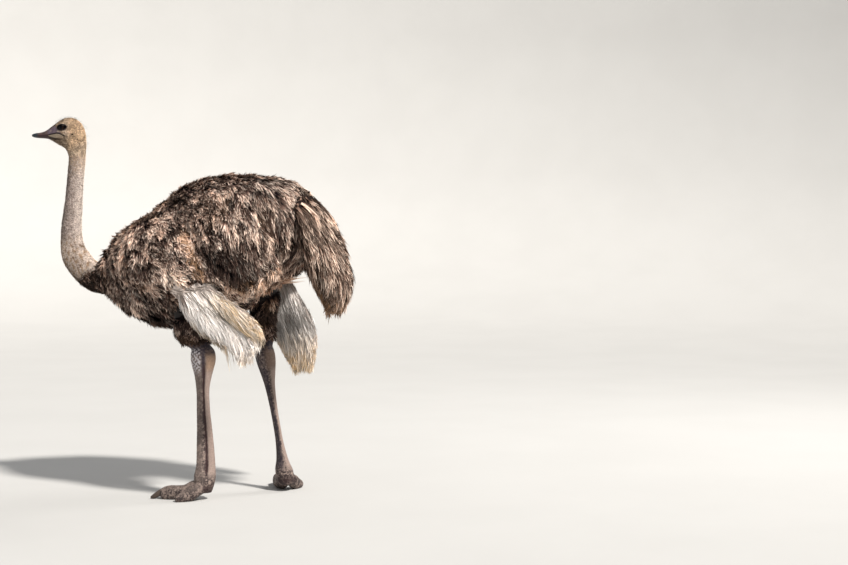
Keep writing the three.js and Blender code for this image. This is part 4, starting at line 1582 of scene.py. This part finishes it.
def head_marks(points, normals, rng):
    """Golden, finely mottled down with a dark forehead, a rosy cheek and pale ear bristles, and
    painted shade under the jaw and in the nape's fold.
    """
    count = len(points)
    forward, up, _ = from_head(points)
    tone = 0.65 + 0.10 * ripple(points, 0.016, 85) + 0.08 * ripple(points, 0.04, 86)
    tone += rng.normal(0, 0.07, count)
    tone -= 0.62 * forehead(points)
    # painted shade under the throat, in the nape's fold and along the line under the jaw
    tone -= 0.16 * ease(forward, -28, 0) * ease(-up, 16, 34)
    tone -= 0.30 * bell(to_line(forward, up, NAPE_FOLD), 3.0)
    tone -= 0.5 * bell(to_line(forward, up, JAW_FOLD), 4.0) * ease(forward, 14, 44)
    tone -= 0.25 * bell(np.hypot(forward + 2, up + 22) / 14, 1.0)
    ear = np.hypot(forward + 21, (up - 1) * 1.2)
    rosy = 0.8 * bell(np.hypot(forward + 2, up * 1.2), 18)
    rosy = np.maximum(rosy, bell(ear, 5.0))
    tone += 0.4 * bell(ear, 5.5)
    warm = 0.75 * ease(-forward, -6, 26) * ease(up + 0.6 * forward, -100, -60)
    return marked(points, tone, rosy, warm * rng.uniform(0.5, 1, count))


def bristle_marks(points, normals, rng):
    return marked(points, 0.05)


def down_marks(points, normals, rng):
    """Pale where the down faces back, or up at the base, and darker where it faces forward or down:
    painted highlight and shade; golden at the top, cream with tan spots at the base.
    """
    count = len(points)
    _, up, _ = from_head(points)
    mottle, low = neck_base(points)
    # how far the down faces back, or up at the base: towards the key light, for a painted highlight
    behind = dot(normals, -HEADING) * ease(-low, -0.9, -0.2) + dot(normals, UP) * low
    tone = 0.50 + 0.10 * ripple(points, 0.012, 82) - 0.5 * mottle
    tone += rng.normal(0, 0.13, count)
    tone += 0.32 * ease(behind, 0.0, 0.8) - 0.24 * ease(-behind, 0.1, 0.9)
    # painted shade where the base of the neck faces down
    tone += (0.10 - 0.32 * ease(-normals[:, 2], 0.1, 0.8)) * low
    pale = (0.10 + 0.80 * ease(behind, 0.0, 0.8) + 0.25 * low) * (1 - 0.9 * mottle)
    warm = 0.10 + 0.8 * ease(up, -210, -95) * rng.uniform(0.4, 1, count) + 0.15 * low + 0.8 * mottle
    return marked(points, tone, pale, warm)


def everywhere(points, ways):
    return np.ones(len(points))


def body_swell(points, normals):
    """How far the body's locks stand out: less along the top of the back."""
    return 1 - 0.62 * ease(normals[:, 2], 0.5, 0.92)


def plume_swell(points, normals):
    """Low along the near white plume's parting, so that it falls in two lobes."""
    return np.where(points[:, 0] > 0, 1.25 - 1.1 * bell(over_parting(points), 0.014), 1.0)


LOCK = {
    "blades": 6, "shortest": 0.6, "spread": 7.0, "gather": 0.45, "bow": 6.0, "lift": 18.0,
    "curl": 6.0, "tilt": 0.22, "width": 6.0, "stray": 0.35, "steps": 4, "beyond": 20,
    "tuft": 7, "pull": 0.74, "patchy": 0.25, "fleck": 0.12, "rooted": 0, "swell": body_swell,
}
THIGH_LOCK = {
    **LOCK, "lift": 12.0, "curl": 5.0, "width": 4.5, "spread": 6.0, "stray": 0.22, "beyond": 10,
}
COLLAR = {
    **LOCK, "blades": 5, "spread": 3.5, "lift": 5.0, "curl": 2.0, "width": 2.2, "steps": 3,
    "beyond": 8, "shares": (0, 0.5, 1.0), "pull": 0.4, "bow": 2.5,
}
STREAMER = {
    **LOCK, "blades": 7, "shortest": 0.5, "spread": 8.0, "gather": 0.6, "bow": 5.0, "lift": 17.0,
    "curl": 4.0, "width": 5.2, "stray": 0.14, "steps": 7, "shares": (0, 0.18, 0.38, 0.6, 0.82, 1.0),
    "beyond": 30, "tuft": 7, "pull": 0.76, "patchy": 0.29, "fleck": 0.14,
}
TAIL_LOCK = {
    **STREAMER, "spread": 6.0, "width": 4.4, "rooted": 14, "beyond": 28, "tuft": 5, "pull": 0.8,
    "patchy": 0.24, "fleck": 0.16, "shortest": 0.45, "ragged": 0.8,
}
PLUME = {
    **STREAMER, "blades": 9, "spread": 10.0, "gather": 0.3, "lift": 11.0, "width": 3.2, "bow": 5.0,
    "stray": 0.13, "steps": 8, "curl": 4.0, "beyond": 34, "tuft": 9, "pull": 0.3, "patchy": 0.07,
    "rooted": 38, "fleck": 0.13, "swell": plume_swell,
}
DOWNY = {
    "blades": 4, "shortest": 0.5, "spread": 2.4, "gather": -0.3, "bow": 1.5, "lift": 3.6,
    "curl": 1.2, "tilt": 0.6, "width": 1.1, "stray": 0.35, "steps": 2, "shares": (0, 0.5, 1.0),
    "root": -0.6, "beyond": 8, "tuft": 6, "pull": 0.3, "patchy": 0.06, "fleck": 0.08, "rooted": 0,
    "swell": everywhere,
}
HEAD_DOWN = {
    **DOWNY, "spread": 1.6, "bow": 1.0, "lift": 2.2, "curl": 0.7, "width": 0.85, "root": -0.5,
    "beyond": 4,
}
BRISTLE = {
    **DOWNY, "blades": 2, "bow": 4.0, "lift": 15.0, "curl": 3.0, "width": 0.34, "stray": 0.6,
    "steps": 3, "shares": (0, 0.35, 0.7, 1.0), "beyond": 20, "tuft": 1, "pull": 0.0,
}
LASH = {**BRISTLE, "spread": 0.4, "bow": 0.5, "lift": 0.0, "curl": 0.6, "width": 0.75, "root": 0.0}


def lash_lines(hand):
    """Lines of the lashes: out from the edge of the upper lid, fanned along it and drooping."""
    share = np.linspace(-0.86, 0.90, 48)
    x = share * OPENING["half"]
    y = OPENING["above"] * (1 - np.abs(share) ** 2.2) ** 0.85 + 0.6
    tilt = math.radians(OPENING["tilt"])
    forward = OPENING["forward"] + x * math.cos(tilt) + y * math.sin(tilt)
    up = OPENING["up"] - x * math.sin(tilt) + y * math.cos(tilt)
    from_eye = np.hypot(forward - EYE["forward"], up - EYE["up"])
    side = EYE["side"] + np.sqrt(np.maximum(LID_OUTSIDE**2 - from_eye**2, 60)) - 0.6
    run = np.linspace(0, 1, 4)[None]
    length = 13.0 - 5.0 * share[:, None] ** 2
    fan = share[:, None] * 0.55
    lines = in_head(
        forward[:, None] + length * run * fan,
        up[:, None] + length * (0.30 * run - 0.55 * run**2),
        hand * (side[:, None] + length * 0.82 * run),
    )
    return lines, np.broadcast_to(UP, lines.shape).copy()


# ---- the pieces of the coat ---------------------------------------------------------------------
# Where the zones of the body's coat meet, in metres: along the body, and to the side above and
# below the flanks' slope.
BREAST_ENDS = -0.16
RUMP_STARTS = 0.22
BACK_HALF = 0.16
BELLY_HALF = 0.2
FLANK_SLOPE = 0.1


def on_body(points):
    """1 where the body is feathered: clear of the legs below it."""
    return ease(points[:, 2], 0.715, 0.735)


def zone_breast(p, w):
    return on_body(p) * (p[:, 1] < BREAST_ENDS) * ease(behind_collar(p), -0.045, 0.012)


def zone_collar(p, w):
    return (behind_collar(p) < 0.012) * (p[:, 1] > -0.53) * 1.0


def behind_breast(p):
    return on_body(p) * (p[:, 1] >= BREAST_ENDS)


def zone_back(p, w):
    return behind_breast(p) * (np.abs(p[:, 0]) < BACK_HALF) * (w[:, 2] > FLANK_SLOPE)


def zone_belly(p, w):
    return behind_breast(p) * (np.abs(p[:, 0]) < BELLY_HALF) * (w[:, 2] <= FLANK_SLOPE)


def zone_side(hand, rear):
    """One side of the body, before or behind the start of the rump."""
    def inside(p, w):
        middle = np.where(w[:, 2] > FLANK_SLOPE, BACK_HALF, BELLY_HALF)
        half = (p[:, 1] >= RUMP_STARTS) == rear
        return behind_breast(p) * (hand * p[:, 0] >= middle) * half * (1 + ease(w[:, 1], 0.3, 0.7))
    return inside


def zone_thigh(p, w):
    """The thigh down to just above the hock."""
    return ease(p[:, 2], 0.655, 0.69) * ease(-p[:, 2], -0.92, -0.88)


def zone_neck(p, w):
    up = from_head(p)[1]
    return ease(-p[:, 1], 0.39, 0.41) * ease(-up, 84, 100) * (1 - in_collar(p))


def zone_neck_fringe(p, w):
    return ease(-p[:, 1], 0.37, 0.40) * in_collar(p)


def zone_head(p, w):
    """The head but for the bare skin, the gape and the ears."""
    forward, up, _ = from_head(p)
    gape = ease(-to_line(forward, up, GAPE_FOLD), -5, -3) * (up > -40)
    furred = ease(up, -106, -90) * (1 - bare_face(p)) * (1 - gape)
    return furred * (forward < BILL_FROM) * (from_ear(forward, up) >= 0.9)


def zone_crown(p, w):
    up = from_head(p)[1]
    return ease(up, 20, 50) + 0.15 * ease(up, -90, -60) * (1 - bare_face(p))


def neck_length(points):
    up = from_head(points)[1]
    return 14 - 3 * ease(up, -160, -90) + 9 * ease(-up, 600, 680)


def head_length(points):
    forward, up, _ = from_head(points)
    return 9.5 - 2.5 * ease(up, -90, -50) - 1.5 * ease(forward, 0, 40)


def thigh_lie(points, normals):
    way = np.array((0.0, 0.12, -1.0))
    return turned(tangent(way, normals), normals, 0.3 * ripple(points, 0.07, 13))


def thigh_length(points):
    return 34 + 24 * ease(points[:, 2], 0.68, 0.78)


def thigh_marks(points, normals, rng):
    # the thigh's locks stay near their dark roots' colour: painted shade under the body
    tone = 0.02 + 0.08 * ripple(points, 0.05, 55) + rng.normal(0, 0.10, len(points))
    return marked(points, tone, 0.05, 0.25 * ease(ripple(points, 0.09, 56), 0.2, 0.9))


def body_length(points):
    """Short on the breast and the wings, long where the rump's plumes stream down."""
    rear = ease(points[:, 1], 0.2, 0.45) * ease(points[:, 2], 0.85, 1.0)
    breast = ease(-behind_collar(points), -0.06, 0.03)
    return 60 + 8 * ripple(points, 0.2, 91) + 40 * rear - 34 * breast


# The pieces of the body's coat: name, number of locks for a full coat, where, lock and seed.
BODY_ZONES = [
    ("breast_feathers", 3700, zone_breast, LOCK, 101),
    ("back_feathers", 2300, zone_back, LOCK, 102),
    ("belly_feathers", 1900, zone_belly, LOCK, 103),
    ("left_wing_coverts", 2900, zone_side(1, False), LOCK, 104),
    ("right_wing_coverts", 2600, zone_side(-1, False), LOCK, 105),
    ("left_rump_plumes", 2300, zone_side(1, True), STREAMER, 106),
    ("right_rump_plumes", 1900, zone_side(-1, True), STREAMER, 107),
]


# ---- the stage ----------------------------------------------------------------------------------
CAMERA_AT = (5.632, 3.518, 1.087)
CAMERA_TURN = -156.656  # degrees from +X of the way it looks
CAMERA_DIP = 1.641
CAMERA_LENS = 65.0
# The floor's profile, from its middle out: it curves up into a backdrop on every side.
FLOOR_REACH = np.array((0.02, 4.0, 9.0, 12.0, 14.0, 15.2, 15.8, 16.0))
FLOOR_RISE = np.array((0.0, 0.0, 0.0, 0.15, 0.8, 2.0, 4.0, 6.5))
FLOOR_GAP = 0.5 * MM  # the floor lies this far below the soles


def toward(turn, rise):
    """A direction from its angles in degrees round from +X and up from level."""
    turn, rise = math.radians(turn), math.radians(rise)
    level = math.cos(rise)
    return Vector((math.cos(turn) * level, math.sin(turn) * level, math.sin(rise)))


def facing(thing, way, axis="-Z"):
    thing.rotation_euler = way.to_track_quat(axis, "Y").to_euler()


def build_camera():
    data = bpy.data.cameras.new("camera")
    data.lens = CAMERA_LENS
    data.sensor_width = 36.0
    camera = linked("camera", data)
    facing(camera, toward(CAMERA_TURN, -CAMERA_DIP))
    camera.location = CAMERA_AT
    bpy.context.scene.camera = camera


def build_floor(material):
    """A wide floor that curves up into a backdrop a long way off, on every side."""
    turn = -np.linspace(0, 2 * math.pi, 96, endpoint=False)
    reach = FLOOR_REACH[:, None]
    rise = FLOOR_RISE[:, None] - FLOOR_GAP + 0 * turn
    rings = np.stack((reach * np.cos(turn), reach * np.sin(turn), rise), -1)
    floor = paint(rings_mesh("floor", rings, closed=False), material)


def new_light(name, kind, power, colour):
    data = bpy.data.lights.new(name, kind)
    data.energy = power
    data.color = colour
    return linked(name, data)


def soft_light(name, at, aim, size, power, colour):
    lamp = new_light(name, "AREA", power, colour)
    lamp.data.shape = "DISK"
    lamp.data.size = size
    lamp.location = at
    facing(lamp, Vector(aim) - Vector(at))


def build_lights(look):
    world = bpy.data.worlds.new("studio")
    world.use_nodes = True
    sky = world.node_tree.nodes["Background"]
    sky.inputs["Color"].default_value = (0.93, 0.96, 1.0, 1.0)
    sky.inputs["Strength"].default_value = look.fill
    bpy.context.scene.world = world
    bpy.context.scene.view_settings.view_transform = "Standard"
    # the key is a wide soft light so far off that it falls evenly
    key = new_light("key", "SUN", look.key, (1.0, 0.96, 0.90))
    key.data.angle = math.radians(6)
    way = toward(66, 46)
    key.location = way * 6
    facing(key, way, "Z")
    middle = (0.0, 0.1, 0.9)
    soft_light("rim", (-3.5, 3.5, 4.0), middle, 2.2, 120, (1.0, 0.97, 0.93))
    soft_light("front", (5.0, -3.5, 2.6), middle, 3.2, 30, (0.92, 0.96, 1.0))


# ---- the add-on ---------------------------------------------------------------------------------
class OstrichLook(bpy.types.PropertyGroup):
    """Sizes and colours of the bird that a user would change."""

    coat_depth: bpy.props.FloatProperty(
        name="Coat Depth", description="How far the skin of the body lies below its feathers",
        default=0.024, min=0.01, max=0.04, unit="LENGTH",
    )
    thickness: bpy.props.FloatProperty(
        name="Coat Thickness", description="Number of locks, as a share of the full coat",
        default=1.0, min=0.1, max=1.2, subtype="FACTOR",
    )
    key: bpy.props.FloatProperty(
        name="Key Light", description="Strength of the main light", default=5.0, min=0
    )
    fill: bpy.props.FloatProperty(
        name="Fill", description="Strength of the even light all round", default=0.32, min=0
    )


# The colours of the look: what each is the colour of, and its red, green and blue.
COLOURS = {
    # partly the feather's own dark base, partly painted shade deep among the locks
    "feather_root": ("the foot of a body feather", (0.012, 0.007, 0.008)),
    "feather_middle": ("a body feather half way up", (0.195, 0.113, 0.088)),
    "feather_tip": ("the tip of a body feather", (0.74, 0.575, 0.475)),
    "feather_pale": ("the palest tips", (0.88, 0.76, 0.66)),
    "feather_tan": ("the tan feathers", (0.42, 0.24, 0.13)),
    "plume_root": ("the foot of a white plume", (0.56, 0.49, 0.45)),
    "plume_white": ("the white plumes", (0.84, 0.795, 0.765)),
    "plume_tan": ("the white plumes' ends", (0.70, 0.50, 0.28)),
    "down_root": ("the foot of the neck's down", (0.14, 0.10, 0.09)),
    "down_dark": ("the darker skin and down of the neck", (0.40, 0.32, 0.29)),
    "down_light": ("the lighter skin and down of the neck", (0.72, 0.64, 0.59)),
    "down_pale": ("the palest tips of the neck's down", (0.88, 0.83, 0.77)),
    "down_tan": ("the tan spots and top of the neck's down", (0.66, 0.47, 0.30)),
    "leg_dark": ("the darker skin of the legs", (0.045, 0.032, 0.032)),
    "leg_light": ("the lighter skin of the legs", (0.35, 0.268, 0.23)),
    # painted shade in the grooves of the legs and under the ankles
    "leg_dusk": ("the grooves of the legs", (0.035, 0.016, 0.017)),
    "leg_white": ("the white plates on the front of the hock", (0.58, 0.55, 0.57)),
    "leg_pink": ("the rosy skin over the tendons", (0.30, 0.225, 0.195)),
    "leg_tan": ("the tan skin behind the hock", (0.32, 0.215, 0.15)),
    # in part painted shade under the body, and on the right leg's hock
    "leg_slate": ("the dark skin above the hock", (0.028, 0.022, 0.034)),
    "scute": ("the plates on the legs and toes", (0.20, 0.155, 0.135)),
    "lore": ("the bare skin between eye and bill", (0.085, 0.06, 0.078)),
    "lore_light": ("the lighter skin between eye and bill", (0.16, 0.12, 0.145)),
    "jaw": ("the pale stripe below the gape", (0.32, 0.255, 0.185)),
    "head_skin": ("the skin under the head's down", (0.22, 0.155, 0.105)),
    # lid also colours the painted shade in the jaw and nape folds and under the chin
    "lid": ("the dark skin of the lids, gape and ears", (0.010, 0.006, 0.007)),
    # painted shade: near black, so the gaps between the feathers read as deep shade
    "under": ("the skin under the body's feathers", (0.012, 0.008, 0.007)),
    "horn": ("the upper bill's sides", (0.085, 0.052, 0.046)),
    "horn_low": ("the lower bill", (0.045, 0.018, 0.018)),
    "horn_tip": ("the bill's tip", (0.018, 0.026, 0.034)),
    "horn_ridge": ("the ridge of the bill", (0.05, 0.048, 0.037)),
    "claw": ("the claws", (0.10, 0.07, 0.055)),
    "claw_tip": ("the claws' tips", (0.03, 0.022, 0.018)),
    # the iris's own dark brown, made darker still by painted shade of the lashes
    "iris": ("the iris of the eye", (0.022, 0.010, 0.006)),
    "head_down_root": ("the foot of the head's down", (0.15, 0.105, 0.075)),
    "head_down_dark": ("the darker down of the head", (0.50, 0.38, 0.275)),
    "head_down_light": ("the lighter down of the head", (0.86, 0.70, 0.53)),
    "head_down_rosy": ("the rosy down of the cheek and ear", (0.88, 0.74, 0.66)),
    "head_down_gold": ("the golden down of the crown and nape", (0.86, 0.61, 0.38)),
    "floor": ("the floor", (0.54, 0.535, 0.525)),
}
for key, (place, tint) in COLOURS.items():
    OstrichLook.__annotations__[key] = bpy.props.FloatVectorProperty(
        name=key.replace("_", " ").title(), description="Colour of " + place, default=tint,
        subtype="COLOR", size=3, min=0, max=1,
    )


FORMS = {}
BODY_LINE = ((0, -0.45, 0.98), (0, 0.62, 1.12))  # the foot and the head of the body's unwrap
TAIL_LINE = ((0, 0.52, 1.3), (0, 0.70, 0.78))


def tail_depth(points):
    """How far below the solid the tail's plumes are rooted: less at its top."""
    return (16 - 11 * ease(points[:, 2], 1.10, 1.20)) * MM


def build_coat_forms(body, skin_tree):
    """The one surface that the plumage lies on, and its parts: body, tail and thighs."""
    tail = form_of("tail_form", ["tail"], 6 * MM, 6, tail_depth, 0.3)
    thighs = [form_of("thigh_form", [leg["name"] + "_thigh"], 6 * MM, 4, 9 * MM) for leg in LEGS]
    trees = [tree_of(piece) for piece in (body, tail, *thighs)]
    whole = fused(joined("coat_form", [body, tail, *thighs]), VOXEL_BODY, 2)
    points = points_of(whole)
    surface, outward = nearest(skin_tree, points)
    away = points - surface
    below = (dot(away, outward) < 1 * MM) & (np.linalg.norm(away, axis=1) < 20 * MM)
    move_points(whole, np.where(below[:, None], surface + outward * 1 * MM, points))
    coat = Form(whole, *BODY_LINE)
    bpy.data.objects.remove(whole)
    middles = coat.corners.mean(1)
    gaps = [np.linalg.norm(nearest(tree, middles)[0] - middles, axis=1) for tree in trees]
    closest = np.argmin(gaps, axis=0)
    for name in ("left_wing_plumes", "right_wing_plumes"):
        surface, outward = nearest(tree_of(frame["nodes"][name]), middles)
        gap = middles - surface
        covered = (dot(gap, outward) < -1 * MM) & (np.linalg.norm(gap, axis=1) < 14 * MM)
        covered &= (over_parting(middles) > -0.125) | (middles[:, 0] < 0)
        coat.area = np.where(covered, 0.0, coat.area)
    FORMS["body"] = coat.part(closest == 0, *BODY_LINE)
    FORMS["tail"] = coat.part(closest == 1, *TAIL_LINE)
    for i, leg in enumerate(LEGS):
        ends = leg_point(leg["knee"]), leg_point(leg["hock"])
        FORMS[leg["name"] + "_thigh"] = coat.part(closest == 2 + i, *ends)


def finish_piece(piece, slot, *nodes):
    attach(piece, "root")
    if nodes:
        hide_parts(*nodes)


def grown(look, name, form, count, *fields, slot="plumage", nodes=()):
    """A piece of the coat as thick as the look asks, finished. fields go on to coat_piece."""
    made = coat_piece(name, form, int(count * look.thickness), *fields)
    finish_piece(made, slot, *nodes)


def coat_material(look):
    """The material of the body's feathers, made once."""
    return bpy.data.materials.get("body_feather") or feather_material(
        "body_feather", look.feather_root, look.feather_middle, look.feather_tip,
        look.feather_pale, look.feather_tan, 0.35, 0.62,
    )


def dress_core(core, form, marks, material, slot):
    """Finishes the dense inner feathers of a lobe, which show only through gaps, coloured near
    their dark roots as painted shade.
    """
    full = np.zeros((len(core.data.vertices), 4))
    full[:] = (0.3, *marks)
    mark(core, "plume", full)
    places = form.unwrap(points_of(core))
    layer = core.data.uv_layers.new(name="OFBake")
    corners = np.empty(len(core.data.loops), np.int32)
    core.data.loops.foreach_get("vertex_index", corners)
    layer.data.foreach_set("uv", flat(places[corners]))
    finish_piece(paint(core, material), slot)


class OSTRICH_OT_skin(bpy.types.Operator):
    """Makes the one skin of body, neck, head and legs"""

    bl_idname = "ostrich.skin"
    bl_label = "Skin"

    def execute(self, context):
        look = context.scene.ostrich_look
        skin, body = build_skin(look)
        finish_piece(skin, "leg_skin", *FLESH_NODES)
        build_coat_forms(body, tree_of(skin))
        return {"FINISHED"}


class OSTRICH_OT_bill(bpy.types.Operator):
    """Makes the two halves of the bill"""

    bl_idname = "ostrich.bill"
    bl_label = "Bill"

    def execute(self, context):
        look = context.scene.ostrich_look
        horn = horn_material(
            "bill_horn", look.horn, look.horn_low, look.horn_tip, look.horn_ridge, 0.42, look.lore
        )
        for name, upper in (("bill_upper", True), ("bill_lower", False)):
            finish_piece(build_bill(name + "_horn", upper, horn), "bill_horn", name)
        return {"FINISHED"}


class OSTRICH_OT_eyes(bpy.types.Operator):
    """Makes both eyes"""

    bl_idname = "ostrich.eyes"
    bl_label = "Eyes"

    def execute(self, context):
        look = context.scene.ostrich_look
        wet = eye_material("eye", look)
        for name, hand in (("left_eye", 1), ("right_eye", -1)):
            finish_piece(build_eye(name + "_ball", hand, wet), "eye", name)
        return {"FINISHED"}


class OSTRICH_OT_body_feathers(bpy.types.Operator):
    """Grows the feathers of the body, zone by zone"""

    bl_idname = "ostrich.body_feathers"
    bl_label = "Body Feathers"

    def execute(self, context):
        look = context.scene.ostrich_look
        material = coat_material(look)
        for name, count, zone, lock, seed in BODY_ZONES:
            grown(
                look, name, FORMS["body"], count, zone, body_lie, body_length, lock, body_marks,
                material, seed,
            )
        return {"FINISHED"}


class OSTRICH_OT_thigh_feathers(bpy.types.Operator):
    """Grows the dark feathers of both thighs"""

    bl_idname = "ostrich.thigh_feathers"
    bl_label = "Thigh Feathers"

    def execute(self, context):
        look = context.scene.ostrich_look
        material = coat_material(look)
        for leg, seed in zip(LEGS, (151, 152)):
            grown(
                look, leg["name"] + "_thigh_feathers", FORMS[leg["name"] + "_thigh"], 1000,
                zone_thigh, thigh_lie, thigh_length, THIGH_LOCK, thigh_marks, material, seed,
            )
        return {"FINISHED"}


class OSTRICH_OT_tail(bpy.types.Operator):
    """Makes the drooping tail"""

    bl_idname = "ostrich.tail"
    bl_label = "Tail"

    def execute(self, context):
        look = context.scene.ostrich_look
        quills = form_of("tail_quills", ["tail"], 8 * MM, 5, 18 * MM, 0.3)
        form = FORMS["tail"]
        material = coat_material(look)
        grown(
            look, "tail_plumes", form, 2100, everywhere, tail_lie,
            lambda p: 120 + 25 * ripple(p, 0.1, 62), TAIL_LOCK, tail_marks, material, 201,
            nodes=["tail"],
        )
        dress_core(quills, form, (0.25, 0.1, 0.3), material, "plumage")
        return {"FINISHED"}


class OSTRICH_OT_white_plumes(bpy.types.Operator):
    """Makes the white plumes of both wings"""

    bl_idname = "ostrich.white_plumes"
    bl_label = "White Plumes"

    def execute(self, context):
        look = context.scene.ostrich_look
        material = feather_material(
            "white_plume", look.plume_root, look.plume_white, look.plume_white, look.plume_white,
            look.plume_tan, 0.12, 0.6,
        )
        sides = (("left", 1250, left_plume_lie, 301), ("right", 1100, right_plume_lie, 302))
        for name, count, lie, seed in sides:
            node = name + "_wing_plumes"
            core = form_of(name + "_plume_quills", [node], 7 * MM, 4, 10 * MM, 0.3)
            low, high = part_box(node)
            x = (low[0] + high[0]) / 2
            form = Form(core, (x, low[1] + 0.05, high[2]), (x, high[1] - 0.05, low[2]))
            grown(
                look, name + "_white_plumes", form, count, everywhere, lie,
                lambda p: 150 + 30 * ripple(p, 0.1, 72), PLUME, plume_marks, material, seed,
                slot="white_plumes", nodes=[node],
            )
            dress_core(core, form, (0.5, 0.5, 0.2), material, "white_plumes")
        return {"FINISHED"}


class OSTRICH_OT_down(bpy.types.Operator):
    """Grows the short down of the neck and head"""

    bl_idname = "ostrich.down"
    bl_label = "Down"

    def execute(self, context):
        look = context.scene.ostrich_look
        neck = neck_and_head_skin()
        form = Form(neck, in_head(-30, -720), in_head(0, 60))
        bpy.data.objects.remove(neck)
        body = coat_material(look)
        down = feather_material(
            "down", look.down_root, look.down_dark, look.down_light, look.down_pale,
            look.down_tan, 0.2, 0.55,
        )
        golden = feather_material(
            "head_down", look.head_down_root, look.head_down_dark, look.head_down_light,
            look.head_down_rosy, look.head_down_gold, 0.2, 0.75,
        )
        dark = feather_material(
            "bristle", look.lid, BRISTLE_MIDDLE, BRISTLE_TIP, look.lid, look.lid, 0.2, 0.3
        )
        # name, form, number, where, lie, length, lock, marks, material and seed
        for row in (
            (
                "neck_down", form, 7500, zone_neck, neck_lie, neck_length,
                DOWNY, down_marks, down, 401,
            ),
            (
                "head_down", form, 8000, zone_head, neck_lie, head_length,
                HEAD_DOWN, head_marks, golden, 403,
            ),
            (
                "crown_bristles", form, 240, zone_crown, neck_lie, 22,
                BRISTLE, bristle_marks, dark, 404,
            ),
        ):
            grown(look, *row, slot="neck_down")
        lines, ways = (np.concatenate(both) for both in zip(lash_lines(1), lash_lines(-1)))
        made = blade_piece(
            "lashes", lines, ways, form.unwrap(lines[:, 0]), np.zeros((len(lines), 4)),
            np.ones(len(lines)), LASH, np.random.default_rng(405),
        )
        finish_piece(paint(made, dark), "neck_down")
        for row in (
            (
                "collar_down", FORMS["body"], 2400, zone_collar, body_lie, 24,
                COLLAR, collar_marks, body, 402,
            ),
            (
                "neck_fringe", form, 900, zone_neck_fringe, neck_lie, 20,
                COLLAR, collar_marks, body, 406,
            ),
        ):
            grown(look, *row, slot="neck_down")
        return {"FINISHED"}


class OSTRICH_OT_claws(bpy.types.Operator):
    """Makes the claws of both feet"""

    bl_idname = "ostrich.claws"
    bl_label = "Claws"

    def execute(self, context):
        look = context.scene.ostrich_look
        horn = horn_material(
            "claw_horn", look.claw, look.claw, look.claw_tip, CLAW_RIDGE, 0.45, CLAW_SKIN
        )
        for leg in LEGS:
            rings = toe_rings(leg, CLAW, 0, TOE_SHIFT["big"], 1.5 * MM, 40)
            made = rings_mesh(leg["name"] + "_claw_horn", rings)
            ahead = np.linspace(0, 1, rings.shape[0]).repeat(rings.shape[1])
            ahead = np.concatenate((ahead, (0, 1)))
            mark(made, "horn", np.stack((0.6 * ahead, 0 * ahead, 0 * ahead, 0 * ahead), 1))
            finish_piece(paint(made, horn), "claw_horn", leg["name"] + "_claw")
        return {"FINISHED"}


class OSTRICH_OT_stage(bpy.types.Operator):
    """Makes the camera, the lights and the floor"""

    bl_idname = "ostrich.stage"
    bl_label = "Stage"

    def execute(self, context):
        look = context.scene.ostrich_look
        build_camera()
        build_lights(look)
        build_floor(floor_material("floor", look))
        return {"FINISHED"}


class OSTRICH_PT_panel(bpy.types.Panel):
    """Lists the bird's sizes, colours and pieces"""

    bl_idname = "OSTRICH_PT_panel"
    bl_label = "Ostrich"
    bl_space_type = "VIEW_3D"
    bl_region_type = "UI"
    bl_category = "Ostrich"

    def draw(self, context):
        look = context.scene.ostrich_look
        for name in look.bl_rna.properties.keys():
            if name not in ("rna_type", "name"):
                self.layout.prop(look, name)
        for step in STEPS:
            self.layout.operator(step.bl_idname)


STEPS = (
    OSTRICH_OT_stage,
    OSTRICH_OT_skin,
    OSTRICH_OT_bill,
    OSTRICH_OT_eyes,
    OSTRICH_OT_claws,
    OSTRICH_OT_body_feathers,
    OSTRICH_OT_thigh_feathers,
    OSTRICH_OT_tail,
    OSTRICH_OT_white_plumes,
    OSTRICH_OT_down,
)
CLASSES = (OstrichLook, *STEPS, OSTRICH_PT_panel)


def register():
    for each in CLASSES:
        bpy.utils.register_class(each)
    bpy.types.Scene.ostrich_look = bpy.props.PointerProperty(type=OstrichLook)


def unregister():
    del bpy.types.Scene.ostrich_look
    for each in reversed(CLASSES):
        bpy.utils.unregister_class(each)


def main():
    register()
    for step in STEPS:
        group, name = step.bl_idname.split(".")
        getattr(getattr(bpy.ops, group), name)()


if __name__ == "__main__":
    main()
